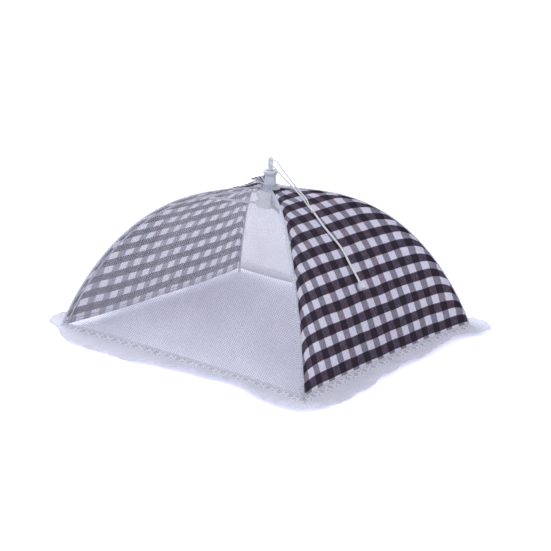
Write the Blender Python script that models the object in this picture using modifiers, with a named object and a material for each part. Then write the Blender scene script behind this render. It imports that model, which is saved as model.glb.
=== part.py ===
"""Pop-up mesh food cover: a low four-rib umbrella of mesh and gingham that stands over a dish.

Metres, +Z up. The origin is on the table, under the middle of the crown. The two mesh panels
face -Y and +Y, the two gingham panels face +X and -X, and the ribs run down to the four corners.
"""
import math

import bmesh
import bpy
from mathutils import Matrix, Vector

# Driving dimensions of the whole cover.
BASE_LENGTH = 0.4536          # between the two gingham panels, at the table
BASE_WIDTH = 0.4064           # between the two mesh panels, at the table
RIDGE_HEIGHT = 0.215          # top of the cloth, over the ribs
CROWN_POWER = 2.8             # how flat the dome is on top
SIDE_POWER = 0.88             # how upright its sides are
PACE_POWER = 1.4              # packs rows and points closer near the crown, where the angle runs fast

# Cloth.
CLOTH_THICKNESS = 0.0008
TOUCH_GAP = 0.0003            # clearance between pieces that rest on each other
SIDE_SAG = 0.009              # how far a panel draws in between its ribs, half way down
HEM_SAG = 0.008               # and at the table
SAG_POWER = 4                 # how close to the ribs the panel turns in
SAG_ROUND_POWER = 0.6         # how soon it draws in, down from the crown
CROWN_HOLE_RADIUS = 0.0145
CANOPY_HEM_HEIGHT = 0.006
RIB_EDGE_INSET = 0.0020       # from the plane of a rib to the edge of a panel
HALF_GAP = 0.0002             # from the middle of a panel to the edge of each half
PANEL_COLUMNS = 7
PANEL_ROWS = 12

# Lace trim.
LACE_TOP_HEIGHT = 0.0165
LACE_THICKNESS = 0.0006
RUFFLE_REACH = 0.0265         # how far the ruffle spreads on the table, mid-side
CORNER_LOBE_REACH = 0.035     # and round a corner
RUFFLE_CLEARANCE = 0.0012     # upper face of the ruffle over the table, at its lowest
RUFFLE_WAVE_HEIGHT = 0.0045
RUFFLE_WAVE_LENGTH = 0.067
SWELL_START_SHARE = 0.55      # of a half side, where the ruffle starts to swell towards its corner
FAN_START_SHARE = 0.93        # and where it starts to turn round the corner
LACE_COLUMNS = 22
LACE_ROWS = 4
LACE_BAND_SHARE = 0.34        # share of the rows that lie on the canopy

# Seam bindings over the ribs.
BINDING_HALF_WIDTH = 0.0036
BINDING_THICKNESS = 0.0006
BINDING_TOP_RADIUS = 0.030
BINDING_GAP = 0.0006          # over the cloth, because both are made of flat facets
BINDING_ROWS = 16

# Ribs.
RIB_RADIUS = 0.00125
RIB_TOP_DEPTH = 0.0054        # middle of the rib under the ridge of the cloth, at the crown
RIB_FOOT_DEPTH = 0.0064       # and at the table
RIB_POINTS = 20
RIB_END_HEIGHT = 0.0035
RIB_FOLD = math.radians(50)
HINGE_RADIUS = 0.011          # where the ribs and the stretchers turn on their ring wires
EYE_RADIUS = 0.0018
EYE_WIDTH = 0.0024
RING_WIRE_RADIUS = 0.0006
RING_WIRE_SIDES = 6
RUNNING_GAP = 0.0003          # clearance round a pin, a wire or a sliding piece

# Rib tips.
TIP_RADIUS = 0.0024
TIP_GRIP = 0.0055             # length of rib inside the tip
TIP_BEVEL = 0.0006
TIP_FLOOR_OVERRUN = 0.006     # the tip is made this much too long, then cut flat on the table

# Stretchers and their brackets.
LINK_LENGTH = 0.075           # hinge to rivet, and rivet to runner
RIVET_DROP = 0.0034           # rivet under the middle of the rib
RIVET_RADIUS = 0.0008
STRETCHER_THICKNESS = 0.0012
STRETCHER_HEIGHT = 0.0030
STRETCHER_END_RADIUS = 0.0010
STRETCHER_TAPER = 0.0070      # length over which it narrows to its inner end
OPEN_PIVOT_GAP = 0.0014       # from that end to the ring wire, which it swings past half way down
BRACKET_WALL = 0.0008
BRACKET_LENGTH = 0.0075
BRACKET_ROUND = 0.0016
BRACKET_FOOT = 0.0021         # bracket below the middle of the rivet

# Crown and runner.
HUB_RADIUS = 0.020
CROWN_HUB_HEIGHT = 0.0095
CROWN_HUB_TOP_GAP = 0.0024    # under the ridge of the cloth
HUB_BEVEL = 0.0010
HUB_CORE_RADIUS = 0.0078      # solid middle of a hub, inside its four slots
HUB_WAIST_RADIUS = 0.0172
RUNNER_FOOT = 0.0030          # runner below its ring wire
POST_RADIUS = 0.0040
POST_BORE_RADIUS = 0.0049
POST_RISE = 0.046             # top of the post over the ridge of the cloth
POST_DOME_HEIGHT = 0.0030
POST_HEAD_RADIUS = 0.0068
POST_HEAD_HEIGHT = 0.0022
LATCH_RIDGE_RADIUS = 0.0046
LATCH_RIDGE_HEIGHT = 0.0022
CORD_HOLE_DROP = 0.0055       # cross hole below the top of the post
COLLAR_BASE_RADIUS = 0.0125
COLLAR_BASE_HEIGHT = 0.0020
NECK_FOOT_RADIUS = 0.0092
NECK_TOP_RADIUS = 0.0082
NECK_HEIGHT = 0.0183
FLANGE_RADIUS = 0.0113
FLANGE_CONE_HEIGHT = 0.0050
FLANGE_RIM_HEIGHT = 0.0032
FLANGE_BEVEL = 0.0012

# Gathered frill round the neck.
FRILL_INNER_RADIUS = 0.0100
FRILL_OUTER_RADIUS = 0.0235
FRILL_RADIUS_LEAN = 0.0055    # wider than that to the back left, narrower to the front right
FRILL_FOOT_GAP = 0.0016       # over the ridge of the cloth
FRILL_RISE = 0.0075
FRILL_RISE_LEAN = 0.0045      # higher and lower in the same way
FRILL_LEAN_ANGLE = math.radians(135)
FRILL_FOOT_SHARE = 0.25       # share of the hump that lies inside the neck
FRILL_PLEAT_HEIGHT = 0.0009
FRILL_PLEATS = 14
FRILL_COLUMNS = 56
FRILL_ROWS = 4
FRILL_THICKNESS = 0.0006

# Pull cord: one cord doubled through the post, held by a knot and ending in a bead.
CORD_RADIUS = 0.0008
CORD_POINTS = 52
KNOT_RADIUS = 0.0032
KNOT_LENGTH = 0.0052
BEAD_RADIUS = 0.0063
BEAD_MOUTH_RADIUS = 0.0052
BEAD_LENGTH = 0.0112
BEAD_BEVEL = 0.0014
CORD_BORE_RADIUS = 0.0023
ROUND_STEPS = 32
SMALL_ROUND_STEPS = 12
MERGE_DISTANCE = 0.00001
DERIVATIVE_STEP = 0.001       # in the angle that runs down the dome
BISECTION_STEPS = 60
ROUTE_STEPS = 20              # between two points of a cord's route, before they are spaced evenly
SHARP_ANGLE = math.radians(35)
CUT_OVERRUN = 0.004

HALF_LENGTH = BASE_LENGTH / 2
HALF_WIDTH = BASE_WIDTH / 2
HALF_DIAGONAL = math.hypot(HALF_LENGTH, HALF_WIDTH)

# A side: its outward direction, the direction along it, and its two half sizes.
SIDES = {
    "right": (Vector((1, 0, 0)), Vector((0, 1, 0)), HALF_LENGTH, HALF_WIDTH),
    "left": (Vector((-1, 0, 0)), Vector((0, 1, 0)), HALF_LENGTH, HALF_WIDTH),
    "back": (Vector((0, 1, 0)), Vector((1, 0, 0)), HALF_WIDTH, HALF_LENGTH),
    "front": (Vector((0, -1, 0)), Vector((1, 0, 0)), HALF_WIDTH, HALF_LENGTH),
}
CLOTH_NAMES = {"right": "gingham", "left": "gingham", "back": "mesh", "front": "mesh"}
# A corner: its signs along X and Y.
CORNERS = {
    "front_left": (-1, -1),
    "front_right": (1, -1),
    "back_right": (1, 1),
    "back_left": (-1, 1),
}
SIDE_OF_X = {1: "right", -1: "left"}
SIDE_OF_Y = {1: "back", -1: "front"}

# Colours as red, green and blue shares, with roughness and metallic.
LOOKS = {
    "gingham": ((0.27, 0.25, 0.31), 0.85, 0.0),
    "mesh": ((0.72, 0.72, 0.80), 0.80, 0.0),
    "lace": ((0.66, 0.67, 0.78), 0.80, 0.0),
    "binding": ((0.70, 0.70, 0.78), 0.80, 0.0),
    "crown_plastic": ((0.60, 0.62, 0.69), 0.40, 0.0),
    "latch_plastic": ((0.56, 0.58, 0.65), 0.30, 0.0),
    "steel": ((0.55, 0.56, 0.58), 0.30, 1.0),
    "zinc": ((0.48, 0.49, 0.51), 0.35, 1.0),
    "cord": ((0.82, 0.82, 0.86), 0.80, 0.0),
    "bead": ((0.86, 0.87, 0.92), 0.25, 0.0),
}


# Scene and objects

def clear_scene():
    for item in list(bpy.data.objects):
        bpy.data.objects.remove(item, do_unlink=True)


def new_collection(name):
    collection = bpy.data.collections.new(name)
    bpy.context.scene.collection.children.link(collection)
    return collection


def make_material(name, look):
    colour, roughness, metallic = LOOKS[look]
    material = bpy.data.materials.new(name)
    material.use_nodes = True
    shader = material.node_tree.nodes["Principled BSDF"]
    shader.inputs["Base Color"].default_value = (*colour, 1.0)
    shader.inputs["Roughness"].default_value = roughness
    shader.inputs["Metallic"].default_value = metallic
    return material


def add_part(name, mesh, look, carrier, matrix=None):
    """Link a mesh as a named part, with its own material, on the body that carries it."""
    part = bpy.data.objects.new(name, mesh)
    PARTS.objects.link(part)
    part.data.materials.clear()
    part.data.materials.append(make_material(name, look))
    part.matrix_world = matrix or Matrix.Identity(4)
    part.parent = carrier
    part.matrix_parent_inverse = Matrix.Translation(carrier.location).inverted()
    return part


def add_cutter(name, mesh, matrix=None):
    cutter = bpy.data.objects.new(name, mesh)
    CUTTERS.objects.link(cutter)
    cutter.matrix_world = matrix or Matrix.Identity(4)
    cutter.hide_render = True
    cutter.display_type = "WIRE"
    return cutter


def add_carrier(name, location):
    """An empty on the joint's axis, which a moving body's parts hang from."""
    empty = bpy.data.objects.new(name, None)
    empty.empty_display_size = HINGE_RADIUS
    empty.location = location
    PARTS.objects.link(empty)
    return empty


def boolean(part, cutter, operation="DIFFERENCE"):
    modifier = part.modifiers.new(operation.lower(), "BOOLEAN")
    modifier.operation = operation
    modifier.solver = "EXACT"
    modifier.object = cutter


def smooth(mesh):
    mesh.shade_smooth()
    mesh.set_sharp_from_angle(angle=SHARP_ANGLE)
    return mesh


# Shapes

def box_mesh(name, size):
    shape = bmesh.new()
    bmesh.ops.create_cube(shape, size=1)
    bmesh.ops.scale(shape, vec=size, verts=shape.verts)
    mesh = bpy.data.meshes.new(name)
    shape.to_mesh(mesh)
    shape.free()
    return mesh


def rod_mesh(name, radius, length, steps=SMALL_ROUND_STEPS):
    shape = bmesh.new()
    bmesh.ops.create_cone(shape, cap_ends=True, segments=steps, radius1=radius, radius2=radius, depth=length)
    mesh = bpy.data.meshes.new(name)
    shape.to_mesh(mesh)
    shape.free()
    return smooth(mesh)


def turn(part, steps=ROUND_STEPS):
    """Turn a part's profile about its own Z axis."""
    screw = part.modifiers.new("turn", "SCREW")
    screw.steps = steps
    screw.render_steps = steps
    screw.use_merge_vertices = True
    screw.merge_threshold = MERGE_DISTANCE
    screw.use_smooth_shade = False


def profile_mesh(name, points, closed):
    """A profile in the XZ plane, for a Screw modifier. It runs down its outer side."""
    mesh = bpy.data.meshes.new(name)
    edges = [(i, i + 1) for i in range(len(points) - 1)]
    if closed:
        edges.append((len(points) - 1, 0))
    mesh.from_pydata([(r, 0, z) for r, z in points], edges, [])
    return mesh


def sheet_mesh(name, place, columns, rows, outward, closed=False):
    """A grid laid on a formula: place(across, down) takes two shares from 0 to 1."""
    shape = bmesh.new()
    bmesh.ops.create_grid(shape, x_segments=columns, y_segments=rows, size=0.5)
    for vert in shape.verts:
        vert.co = place(vert.co.x + 0.5, 0.5 - vert.co.y)
    if closed:
        bmesh.ops.remove_doubles(shape, verts=shape.verts, dist=MERGE_DISTANCE)
    shape.normal_update()
    if sum(face.normal.dot(outward(face.calc_center_median())) for face in shape.faces) < 0:
        bmesh.ops.reverse_faces(shape, faces=shape.faces)
    mesh = bpy.data.meshes.new(name)
    shape.to_mesh(mesh)
    shape.free()
    return smooth(mesh)


def thicken(part, thickness, outwards):
    shell = part.modifiers.new("thickness", "SOLIDIFY")
    shell.thickness = thickness
    shell.offset = 1 if outwards else -1
    shell.use_even_offset = True


def curve_to_mesh(curve_object):
    """The evaluated curve as a mesh with its caps welded on. The curve is removed."""
    bpy.context.view_layer.update()
    evaluated = curve_object.evaluated_get(bpy.context.evaluated_depsgraph_get())
    mesh = bpy.data.meshes.new_from_object(evaluated)
    mesh.transform(curve_object.matrix_world)
    shape = bmesh.new()
    shape.from_mesh(mesh)
    bmesh.ops.remove_doubles(shape, verts=shape.verts, dist=MERGE_DISTANCE)
    bmesh.ops.recalc_face_normals(shape, faces=shape.faces)
    shape.to_mesh(mesh)
    shape.free()
    bpy.data.objects.remove(curve_object, do_unlink=True)
    return smooth(mesh)


def tube_mesh(name, points, radius):
    curve = bpy.data.curves.new(name, "CURVE")
    curve.dimensions = "3D"
    curve.bevel_depth = radius
    curve.bevel_resolution = 2
    curve.use_fill_caps = True
    spline = curve.splines.new("POLY")
    spline.points.add(len(points) - 1)
    for spot, point in zip(spline.points, points):
        spot.co = (*point, 1)
    guide = bpy.data.objects.new(name, curve)
    CUTTERS.objects.link(guide)
    return curve_to_mesh(guide)


def plate_mesh(name, outlines, thickness):
    """A flat plate from closed outlines in its own XY plane, holes included."""
    curve = bpy.data.curves.new(name, "CURVE")
    curve.dimensions = "2D"
    curve.fill_mode = "BOTH"
    curve.extrude = thickness / 2
    for outline in outlines:
        spline = curve.splines.new("POLY")
        spline.points.add(len(outline) - 1)
        for spot, (x, y) in zip(spline.points, outline):
            spot.co = (x, y, 0, 1)
        spline.use_cyclic_u = True
    guide = bpy.data.objects.new(name, curve)
    CUTTERS.objects.link(guide)
    return curve_to_mesh(guide)


def arc(centre, radius, start, end, steps):
    cx, cy = centre
    angles = [start + (end - start) * i / steps for i in range(steps + 1)]
    return [(cx + radius * math.cos(a), cy + radius * math.sin(a)) for a in angles]


def frame_matrix(origin, x_axis, z_axis):
    """A placement with the given X and Z directions."""
    z_axis = z_axis.normalized()
    y_axis = z_axis.cross(x_axis).normalized()
    x_axis = y_axis.cross(z_axis)
    turned = Matrix((x_axis, y_axis, z_axis)).transposed().to_4x4()
    return Matrix.Translation(origin) @ turned


# The dome

def dome(angle):
    """Share of the half diagonal, and height, at an angle that runs from 0 (top) to 90 degrees."""
    share = max(math.sin(angle), 0) ** (2 / CROWN_POWER)
    return share, RIDGE_HEIGHT * math.cos(angle) ** (2 * SIDE_POWER)


def angle_at_height(height):
    return math.acos((height / RIDGE_HEIGHT) ** (1 / (2 * SIDE_POWER)))


def angle_at_share(share):
    return math.asin(share ** (CROWN_POWER / 2))


def paced(first, last, share):
    """An angle between two others, so that equal shares lie about as far apart on the dome."""
    return first + (last - first) * share ** PACE_POWER


def sag(share):
    """How far a panel draws in between its ribs."""
    return SIDE_SAG * (4 * share * (1 - share)) ** SAG_ROUND_POWER + HEM_SAG * share ** 2


def panel_point(side, angle, across):
    """A point on the outer face of a side's panel; across runs from -1 to 1 between its ribs."""
    outward, along, half_out, half_along = SIDES[side]
    share, height = dome(angle)
    draw_in = sag(share) * (1 - abs(across) ** SAG_POWER)
    return (outward * (half_out * share - draw_in) + along * (half_along * share * across)
            + Vector((0, 0, height)))


def panel_normal(side, angle, across):
    step = DERIVATIVE_STEP
    low, high = max(angle - step, step), min(angle + step, math.pi / 2 - step)
    down = panel_point(side, high, across) - panel_point(side, low, across)
    inner, outer = max(across - step, -1), min(across + step, 1)
    over = panel_point(side, angle, outer) - panel_point(side, angle, inner)
    normal = down.cross(over)
    outward = SIDES[side][0] + Vector((0, 0, 1))
    return normal.normalized() * (1 if normal.dot(outward) > 0 else -1)


def across_at(side, angle, share_across, sign):
    """From the middle of a panel (share 0) to its edge along the rib (share 1), closer near the rib."""
    share = dome(angle)[0]
    half_along = SIDES[side][3]
    first = HALF_GAP / (half_along * share)
    last = 1 - RIB_EDGE_INSET * HALF_DIAGONAL / (HALF_LENGTH * HALF_WIDTH * share)
    return sign * (first + (last - first) * math.sin(share_across * math.pi / 2))


def hole_angle(side, across):
    """Where a panel begins, at the round hole in the crown."""
    return solve(lambda a: panel_point(side, a, across).xy.length, CROWN_HOLE_RADIUS,
                 DERIVATIVE_STEP, math.pi / 4)


def ridge(angle):
    """Radius and height of the cloth over a rib."""
    share, height = dome(angle)
    return HALF_DIAGONAL * share, height


def rib_point(angle):
    """Radius and height of the middle of a rib, under the ridge."""
    step = DERIVATIVE_STEP
    r0, z0 = ridge(max(angle - step, step))
    r1, z1 = ridge(angle + step)
    length = math.hypot(r1 - r0, z1 - z0)
    radius, height = ridge(angle)
    depth = RIB_TOP_DEPTH + (RIB_FOOT_DEPTH - RIB_TOP_DEPTH) * dome(angle)[0] ** 2
    return radius + depth * (z1 - z0) / length, height - depth * (r1 - r0) / length


def solve(function, target, low, high):
    """Bisection for a rising function."""
    for _ in range(BISECTION_STEPS):
        middle = (low + high) / 2
        if function(middle) < target:
            low = middle
        else:
            high = middle
    return (low + high) / 2


# Linkage

HINGE_HEIGHT = RIDGE_HEIGHT - RIB_TOP_DEPTH
LAST_ANGLE = math.pi / 2 - 2 * DERIVATIVE_STEP


def rivet_gap(angle):
    """Distance from the crown hinge to the point under the rib that would carry the rivet."""
    radius, height = rib_point(angle)
    return math.hypot(radius - HINGE_RADIUS, HINGE_HEIGHT - height + RIVET_DROP)


RIVET_ANGLE = solve(rivet_gap, LINK_LENGTH, DERIVATIVE_STEP, LAST_ANGLE)
RIVET_RADIUS_OUT = rib_point(RIVET_ANGLE)[0]
RIVET_HEIGHT = rib_point(RIVET_ANGLE)[1] - RIVET_DROP
LINK_SLOPE = math.asin((HINGE_HEIGHT - RIVET_HEIGHT) / LINK_LENGTH)
RUNNER_PIVOT_HEIGHT = HINGE_HEIGHT - 2 * LINK_LENGTH * math.sin(LINK_SLOPE)
RUNNER_TRAVEL = 2 * LINK_LENGTH * (math.sin(LINK_SLOPE + RIB_FOLD) - math.sin(LINK_SLOPE))
CROWN_HUB_TOP = RIDGE_HEIGHT - CROWN_HUB_TOP_GAP
POST_TOP_HEIGHT = RIDGE_HEIGHT + POST_RISE
CROWN_HUB_BOTTOM = CROWN_HUB_TOP - CROWN_HUB_HEIGHT
COLLAR_TOP = (CROWN_HUB_TOP + TOUCH_GAP + COLLAR_BASE_HEIGHT + NECK_HEIGHT
              + FLANGE_CONE_HEIGHT + FLANGE_RIM_HEIGHT)


def corner_direction(corner):
    sign_x, sign_y = CORNERS[corner]
    return Vector((sign_x * HALF_LENGTH, sign_y * HALF_WIDTH, 0)).normalized()


def hinge_axis(corner):
    """Turning about this axis by the right-hand rule folds a rib down."""
    return Vector((0, 0, 1)).cross(corner_direction(corner))


def in_rib_plane(corner, radius, height):
    return corner_direction(corner) * radius + Vector((0, 0, height))


# Cloth

def make_panel_half(side, corner, carrier):
    outward = SIDES[side][0] + Vector((0, 0, 1))
    sign = side_sign(side, corner)
    hem_angle = angle_at_height(CANOPY_HEM_HEIGHT)

    def place(share_across, share_down):
        rib_side = hole_angle(side, sign)
        first = hole_angle(side, across_at(side, rib_side, share_across, sign))
        angle = paced(first, hem_angle, share_down)
        return panel_point(side, angle, across_at(side, angle, share_across, sign))

    name = half_name(CLOTH_NAMES[side] + "_panel", side, corner)
    mesh = sheet_mesh(name, place, PANEL_COLUMNS, PANEL_ROWS, lambda centre: outward)
    panel = add_part(name, mesh, CLOTH_NAMES[side], carrier)
    thicken(panel, CLOTH_THICKNESS, outwards=False)


def ruffle_wave(side, across):
    """0 in the valleys, 1 on the crests, and a crest at each rib."""
    waves = round(2 * SIDES[side][3] / RUFFLE_WAVE_LENGTH)
    return (1 + math.cos(math.pi * waves * (1 - across))) / 2


def ease(share):
    share = min(max(share, 0), 1)
    return share * share * (3 - 2 * share)


def make_lace_half(side, corner, carrier):
    outward, along, half_out, half_along = SIDES[side]
    sign = side_sign(side, corner)
    top_angle = angle_at_height(LACE_TOP_HEIGHT)
    hem_angle = angle_at_height(CANOPY_HEM_HEIGHT)
    corner_turn = math.atan2(half_along, half_out)

    def place(share_across, share_down):
        band = min(share_down / LACE_BAND_SHARE, 1)
        angle = top_angle + (hem_angle - top_angle) * band
        across = across_at(side, angle, share_across, sign)
        point = panel_point(side, angle, across) + panel_normal(side, angle, across) * TOUCH_GAP
        flare = max(share_down - LACE_BAND_SHARE, 0) / (1 - LACE_BAND_SHARE)
        place_along = math.sin(share_across * math.pi / 2)
        swell = ease((place_along - SWELL_START_SHARE) / (FAN_START_SHARE - SWELL_START_SHARE))
        fan = ease((place_along - FAN_START_SHARE) / (1 - FAN_START_SHARE)) * corner_turn
        reach = (RUFFLE_REACH + (CORNER_LOBE_REACH - RUFFLE_REACH) * swell) * flare
        point += (outward * math.cos(fan) + along * (sign * math.sin(fan))) * reach
        drop = point.z - RUFFLE_CLEARANCE - RUFFLE_WAVE_HEIGHT * ruffle_wave(side, across) * flare
        point.z -= drop * math.sin(flare * math.pi / 2)
        return point

    name = half_name("lace", side, corner)
    mesh = sheet_mesh(name, place, LACE_COLUMNS, LACE_ROWS, lambda centre: outward + Vector((0, 0, 1)))
    lace = add_part(name, mesh, "lace", carrier)
    thicken(lace, LACE_THICKNESS, outwards=True)


def make_binding(corner, carrier):
    """A strip over the seam, which follows the two panels that meet at the rib."""
    sign_x, sign_y = CORNERS[corner]
    sides = ((SIDE_OF_X[sign_x], sign_y), (SIDE_OF_Y[sign_y], sign_x))
    first = angle_at_share(BINDING_TOP_RADIUS / HALF_DIAGONAL)
    last = angle_at_height(LACE_TOP_HEIGHT + BINDING_THICKNESS + 2 * BINDING_GAP)

    def place(share_across, share_down):
        angle = paced(first, last, share_down)
        side, sign = sides[0] if share_across < 0.5 else sides[1]
        inset = abs(2 * share_across - 1) * BINDING_HALF_WIDTH
        share = dome(angle)[0]
        across = sign * (1 - inset * HALF_DIAGONAL / (HALF_LENGTH * HALF_WIDTH * share))
        lift = sum((panel_normal(item, angle, across_sign) for item, across_sign in sides), Vector())
        if inset:
            lift = panel_normal(side, angle, across)
            return panel_point(side, angle, across) + lift * BINDING_GAP
        lift.normalize()
        clearance = BINDING_GAP / lift.dot(panel_normal(side, angle, sign))
        return panel_point(side, angle, across) + lift * clearance

    direction = corner_direction(corner) + Vector((0, 0, 1))
    mesh = sheet_mesh("seam_binding_" + corner, place, 4, BINDING_ROWS, lambda centre: direction)
    binding = add_part("seam_binding_" + corner, mesh, "binding", carrier)
    thicken(binding, BINDING_THICKNESS, outwards=True)


def make_frill(carrier):
    """The gathered cloth that stands up round the neck."""
    foot = RIDGE_HEIGHT + FRILL_FOOT_GAP

    def place(share_around, share_out):
        around = share_around * 2 * math.pi
        lean = math.cos(around - FRILL_LEAN_ANGLE)
        outer_radius = FRILL_OUTER_RADIUS + FRILL_RADIUS_LEAN * lean
        radius = FRILL_INNER_RADIUS + (outer_radius - FRILL_INNER_RADIUS) * share_out
        pleat = FRILL_PLEAT_HEIGHT * (1 + math.cos(FRILL_PLEATS * around)) * share_out
        hump = math.sin(math.pi * min(FRILL_FOOT_SHARE + (1 - FRILL_FOOT_SHARE) * share_out, 1))
        return Vector((radius * math.cos(around), radius * math.sin(around),
                       foot + (FRILL_RISE + FRILL_RISE_LEAN * lean) * hump + pleat))

    mesh = sheet_mesh("top_frill", place, FRILL_COLUMNS, FRILL_ROWS,
                      lambda centre: Vector((0, 0, 1)), closed=True)
    frill = add_part("top_frill", mesh, "gingham", carrier)
    thicken(frill, FRILL_THICKNESS, outwards=True)


# Frame

def hub_slots(name, width, bottom, top):
    """Four boxes, one towards each rib, that cut the slots and leave the core."""
    slots = []
    height = top - bottom + 2 * CUT_OVERRUN
    length = HUB_RADIUS - HUB_CORE_RADIUS + CUT_OVERRUN
    for corner in CORNERS:
        direction = corner_direction(corner)
        middle = direction * (HUB_CORE_RADIUS + length / 2) + Vector((0, 0, (top + bottom) / 2))
        matrix = frame_matrix(middle, direction, Vector((0, 0, 1)))
        slots.append(add_cutter(name + "_slot_" + corner, box_mesh(name, (length, width, height)), matrix))
    return slots


def ring_groove(name, low, high):
    half = RING_WIRE_RADIUS + RUNNING_GAP
    points = [(HINGE_RADIUS - half, high), (HINGE_RADIUS + half, high),
              (HINGE_RADIUS + half, low), (HINGE_RADIUS - half, low)]
    groove = add_cutter(name, profile_mesh(name, points, closed=True))
    turn(groove)
    return groove


def make_ring_wire(name, height, carrier):
    bpy.ops.mesh.primitive_torus_add(major_radius=HINGE_RADIUS, minor_radius=RING_WIRE_RADIUS,
                                     major_segments=ROUND_STEPS, minor_segments=RING_WIRE_SIDES)
    ring = bpy.context.object
    mesh = ring.data
    bpy.data.objects.remove(ring, do_unlink=True)
    add_part(name, smooth(mesh), "steel", carrier, Matrix.Translation((0, 0, height)))


def make_crown_hub(carrier):
    top, bottom = CROWN_HUB_TOP, CROWN_HUB_BOTTOM
    points = [(POST_BORE_RADIUS, top), (HUB_RADIUS - HUB_BEVEL, top), (HUB_RADIUS, top - HUB_BEVEL),
              (HUB_RADIUS, bottom + HUB_BEVEL), (HUB_RADIUS - HUB_BEVEL, bottom), (POST_BORE_RADIUS, bottom)]
    hub = add_part("crown_hub", profile_mesh("crown_hub", points, closed=True), "crown_plastic", carrier)
    turn(hub)
    slot_width = EYE_WIDTH + 2 * RUNNING_GAP
    for cutter in hub_slots("crown_hub", slot_width, bottom, top):
        boolean(hub, cutter)
    low = HINGE_HEIGHT - RING_WIRE_RADIUS - RUNNING_GAP
    boolean(hub, ring_groove("crown_groove", low, top + CUT_OVERRUN))


def make_collar(carrier):
    base = CROWN_HUB_TOP + TOUCH_GAP
    neck = base + COLLAR_BASE_HEIGHT
    cone = neck + NECK_HEIGHT
    rim = cone + FLANGE_CONE_HEIGHT
    bore = POST_BORE_RADIUS
    points = [(bore, COLLAR_TOP), (FLANGE_RADIUS - FLANGE_BEVEL, COLLAR_TOP),
              (FLANGE_RADIUS, COLLAR_TOP - FLANGE_BEVEL), (FLANGE_RADIUS, rim), (NECK_TOP_RADIUS, cone),
              (NECK_FOOT_RADIUS, neck), (COLLAR_BASE_RADIUS, neck), (COLLAR_BASE_RADIUS, base), (bore, base)]
    collar = add_part("crown_collar", profile_mesh("crown_collar", points, closed=True),
                      "crown_plastic", carrier)
    turn(collar)


def make_runner_hub(carrier):
    """The sliding hub: a wide foot for the stretchers, drawn in under the crown."""
    bottom = RUNNER_PIVOT_HEIGHT - RUNNER_FOOT
    top = CROWN_HUB_BOTTOM - TOUCH_GAP
    waist = RUNNER_PIVOT_HEIGHT + RUNNER_FOOT
    bore = POST_RADIUS + TOUCH_GAP
    points = [(bore, top), (HUB_WAIST_RADIUS - HUB_BEVEL, top), (HUB_WAIST_RADIUS, top - HUB_BEVEL),
              (HUB_WAIST_RADIUS, waist + HUB_BEVEL), (HUB_RADIUS, waist), (HUB_RADIUS, bottom + HUB_BEVEL),
              (HUB_RADIUS - HUB_BEVEL, bottom), (bore, bottom)]
    hub = add_part("runner_hub", profile_mesh("runner_hub", points, closed=True), "crown_plastic", carrier)
    turn(hub)
    slot_width = STRETCHER_THICKNESS + 2 * RUNNING_GAP
    for cutter in hub_slots("runner_hub", slot_width, bottom, top):
        boolean(hub, cutter)
    high = RUNNER_PIVOT_HEIGHT + RING_WIRE_RADIUS + RUNNING_GAP
    boolean(hub, ring_groove("runner_groove", bottom - CUT_OVERRUN, high))


def make_runner_post(carrier):
    """The latch post: a head under the runner, a ridge over the flange, a dome and a cord hole."""
    head_top = RUNNER_PIVOT_HEIGHT - RUNNER_FOOT - TOUCH_GAP
    head_bottom = head_top - POST_HEAD_HEIGHT
    ridge_low = COLLAR_TOP + TOUCH_GAP
    ridge_high = ridge_low + LATCH_RIDGE_HEIGHT
    dome_foot = POST_TOP_HEIGHT - POST_DOME_HEIGHT
    dome_steps = 5
    dome_angles = [math.pi / 2 * (1 - i / dome_steps) for i in range(dome_steps + 1)]
    points = [(POST_RADIUS * math.cos(a), dome_foot + POST_DOME_HEIGHT * math.sin(a)) for a in dome_angles]
    points[0] = (0, POST_TOP_HEIGHT)
    slope = LATCH_RIDGE_RADIUS - POST_RADIUS
    points += [(POST_RADIUS, ridge_high), (LATCH_RIDGE_RADIUS, ridge_high - slope),
               (LATCH_RIDGE_RADIUS, ridge_low + slope), (POST_RADIUS, ridge_low), (POST_RADIUS, head_top),
               (POST_HEAD_RADIUS, head_top), (POST_HEAD_RADIUS, head_bottom + slope),
               (POST_HEAD_RADIUS - slope, head_bottom), (0, head_bottom)]
    post = add_part("runner_post", profile_mesh("runner_post", points, closed=False), "latch_plastic", carrier)
    turn(post, 2 * SMALL_ROUND_STEPS)
    hole = rod_mesh("cord_hole", CORD_RADIUS + RUNNING_GAP, 2 * (POST_RADIUS + CUT_OVERRUN))
    spot = Vector((0, 0, POST_TOP_HEIGHT - CORD_HOLE_DROP))
    boolean(post, add_cutter("cord_hole", hole, frame_matrix(spot, Vector((1, 0, 0)), Vector((0, 1, 0)))))


def rib_path():
    """Radius and height along a rib, from its eye to its end."""
    first = solve(lambda a: rib_point(a)[0], HINGE_RADIUS + EYE_RADIUS, DERIVATIVE_STEP, LAST_ANGLE)
    last = solve(lambda a: -rib_point(a)[1], -RIB_END_HEIGHT, DERIVATIVE_STEP, LAST_ANGLE)
    steps = [paced(first, last, i / (RIB_POINTS - 1)) for i in range(RIB_POINTS)]
    return [(HINGE_RADIUS, HINGE_HEIGHT)] + [rib_point(a) for a in steps]


def make_rib(corner, carrier):
    path = rib_path()
    wire = tube_mesh("rib_" + corner, [in_rib_plane(corner, r, z) for r, z in path], RIB_RADIUS)
    rib = add_part("rib_" + corner, wire, "steel", carrier)
    pivot = in_rib_plane(corner, HINGE_RADIUS, HINGE_HEIGHT)
    turned = frame_matrix(pivot, Vector((0, 0, 1)), hinge_axis(corner))
    boolean(rib, add_cutter("eye_" + corner, rod_mesh("eye", EYE_RADIUS, EYE_WIDTH), turned), "UNION")
    bore = rod_mesh("eye_bore", RING_WIRE_RADIUS + RUNNING_GAP, EYE_WIDTH + CUT_OVERRUN)
    boolean(rib, add_cutter("eye_bore_" + corner, bore, turned))


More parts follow.
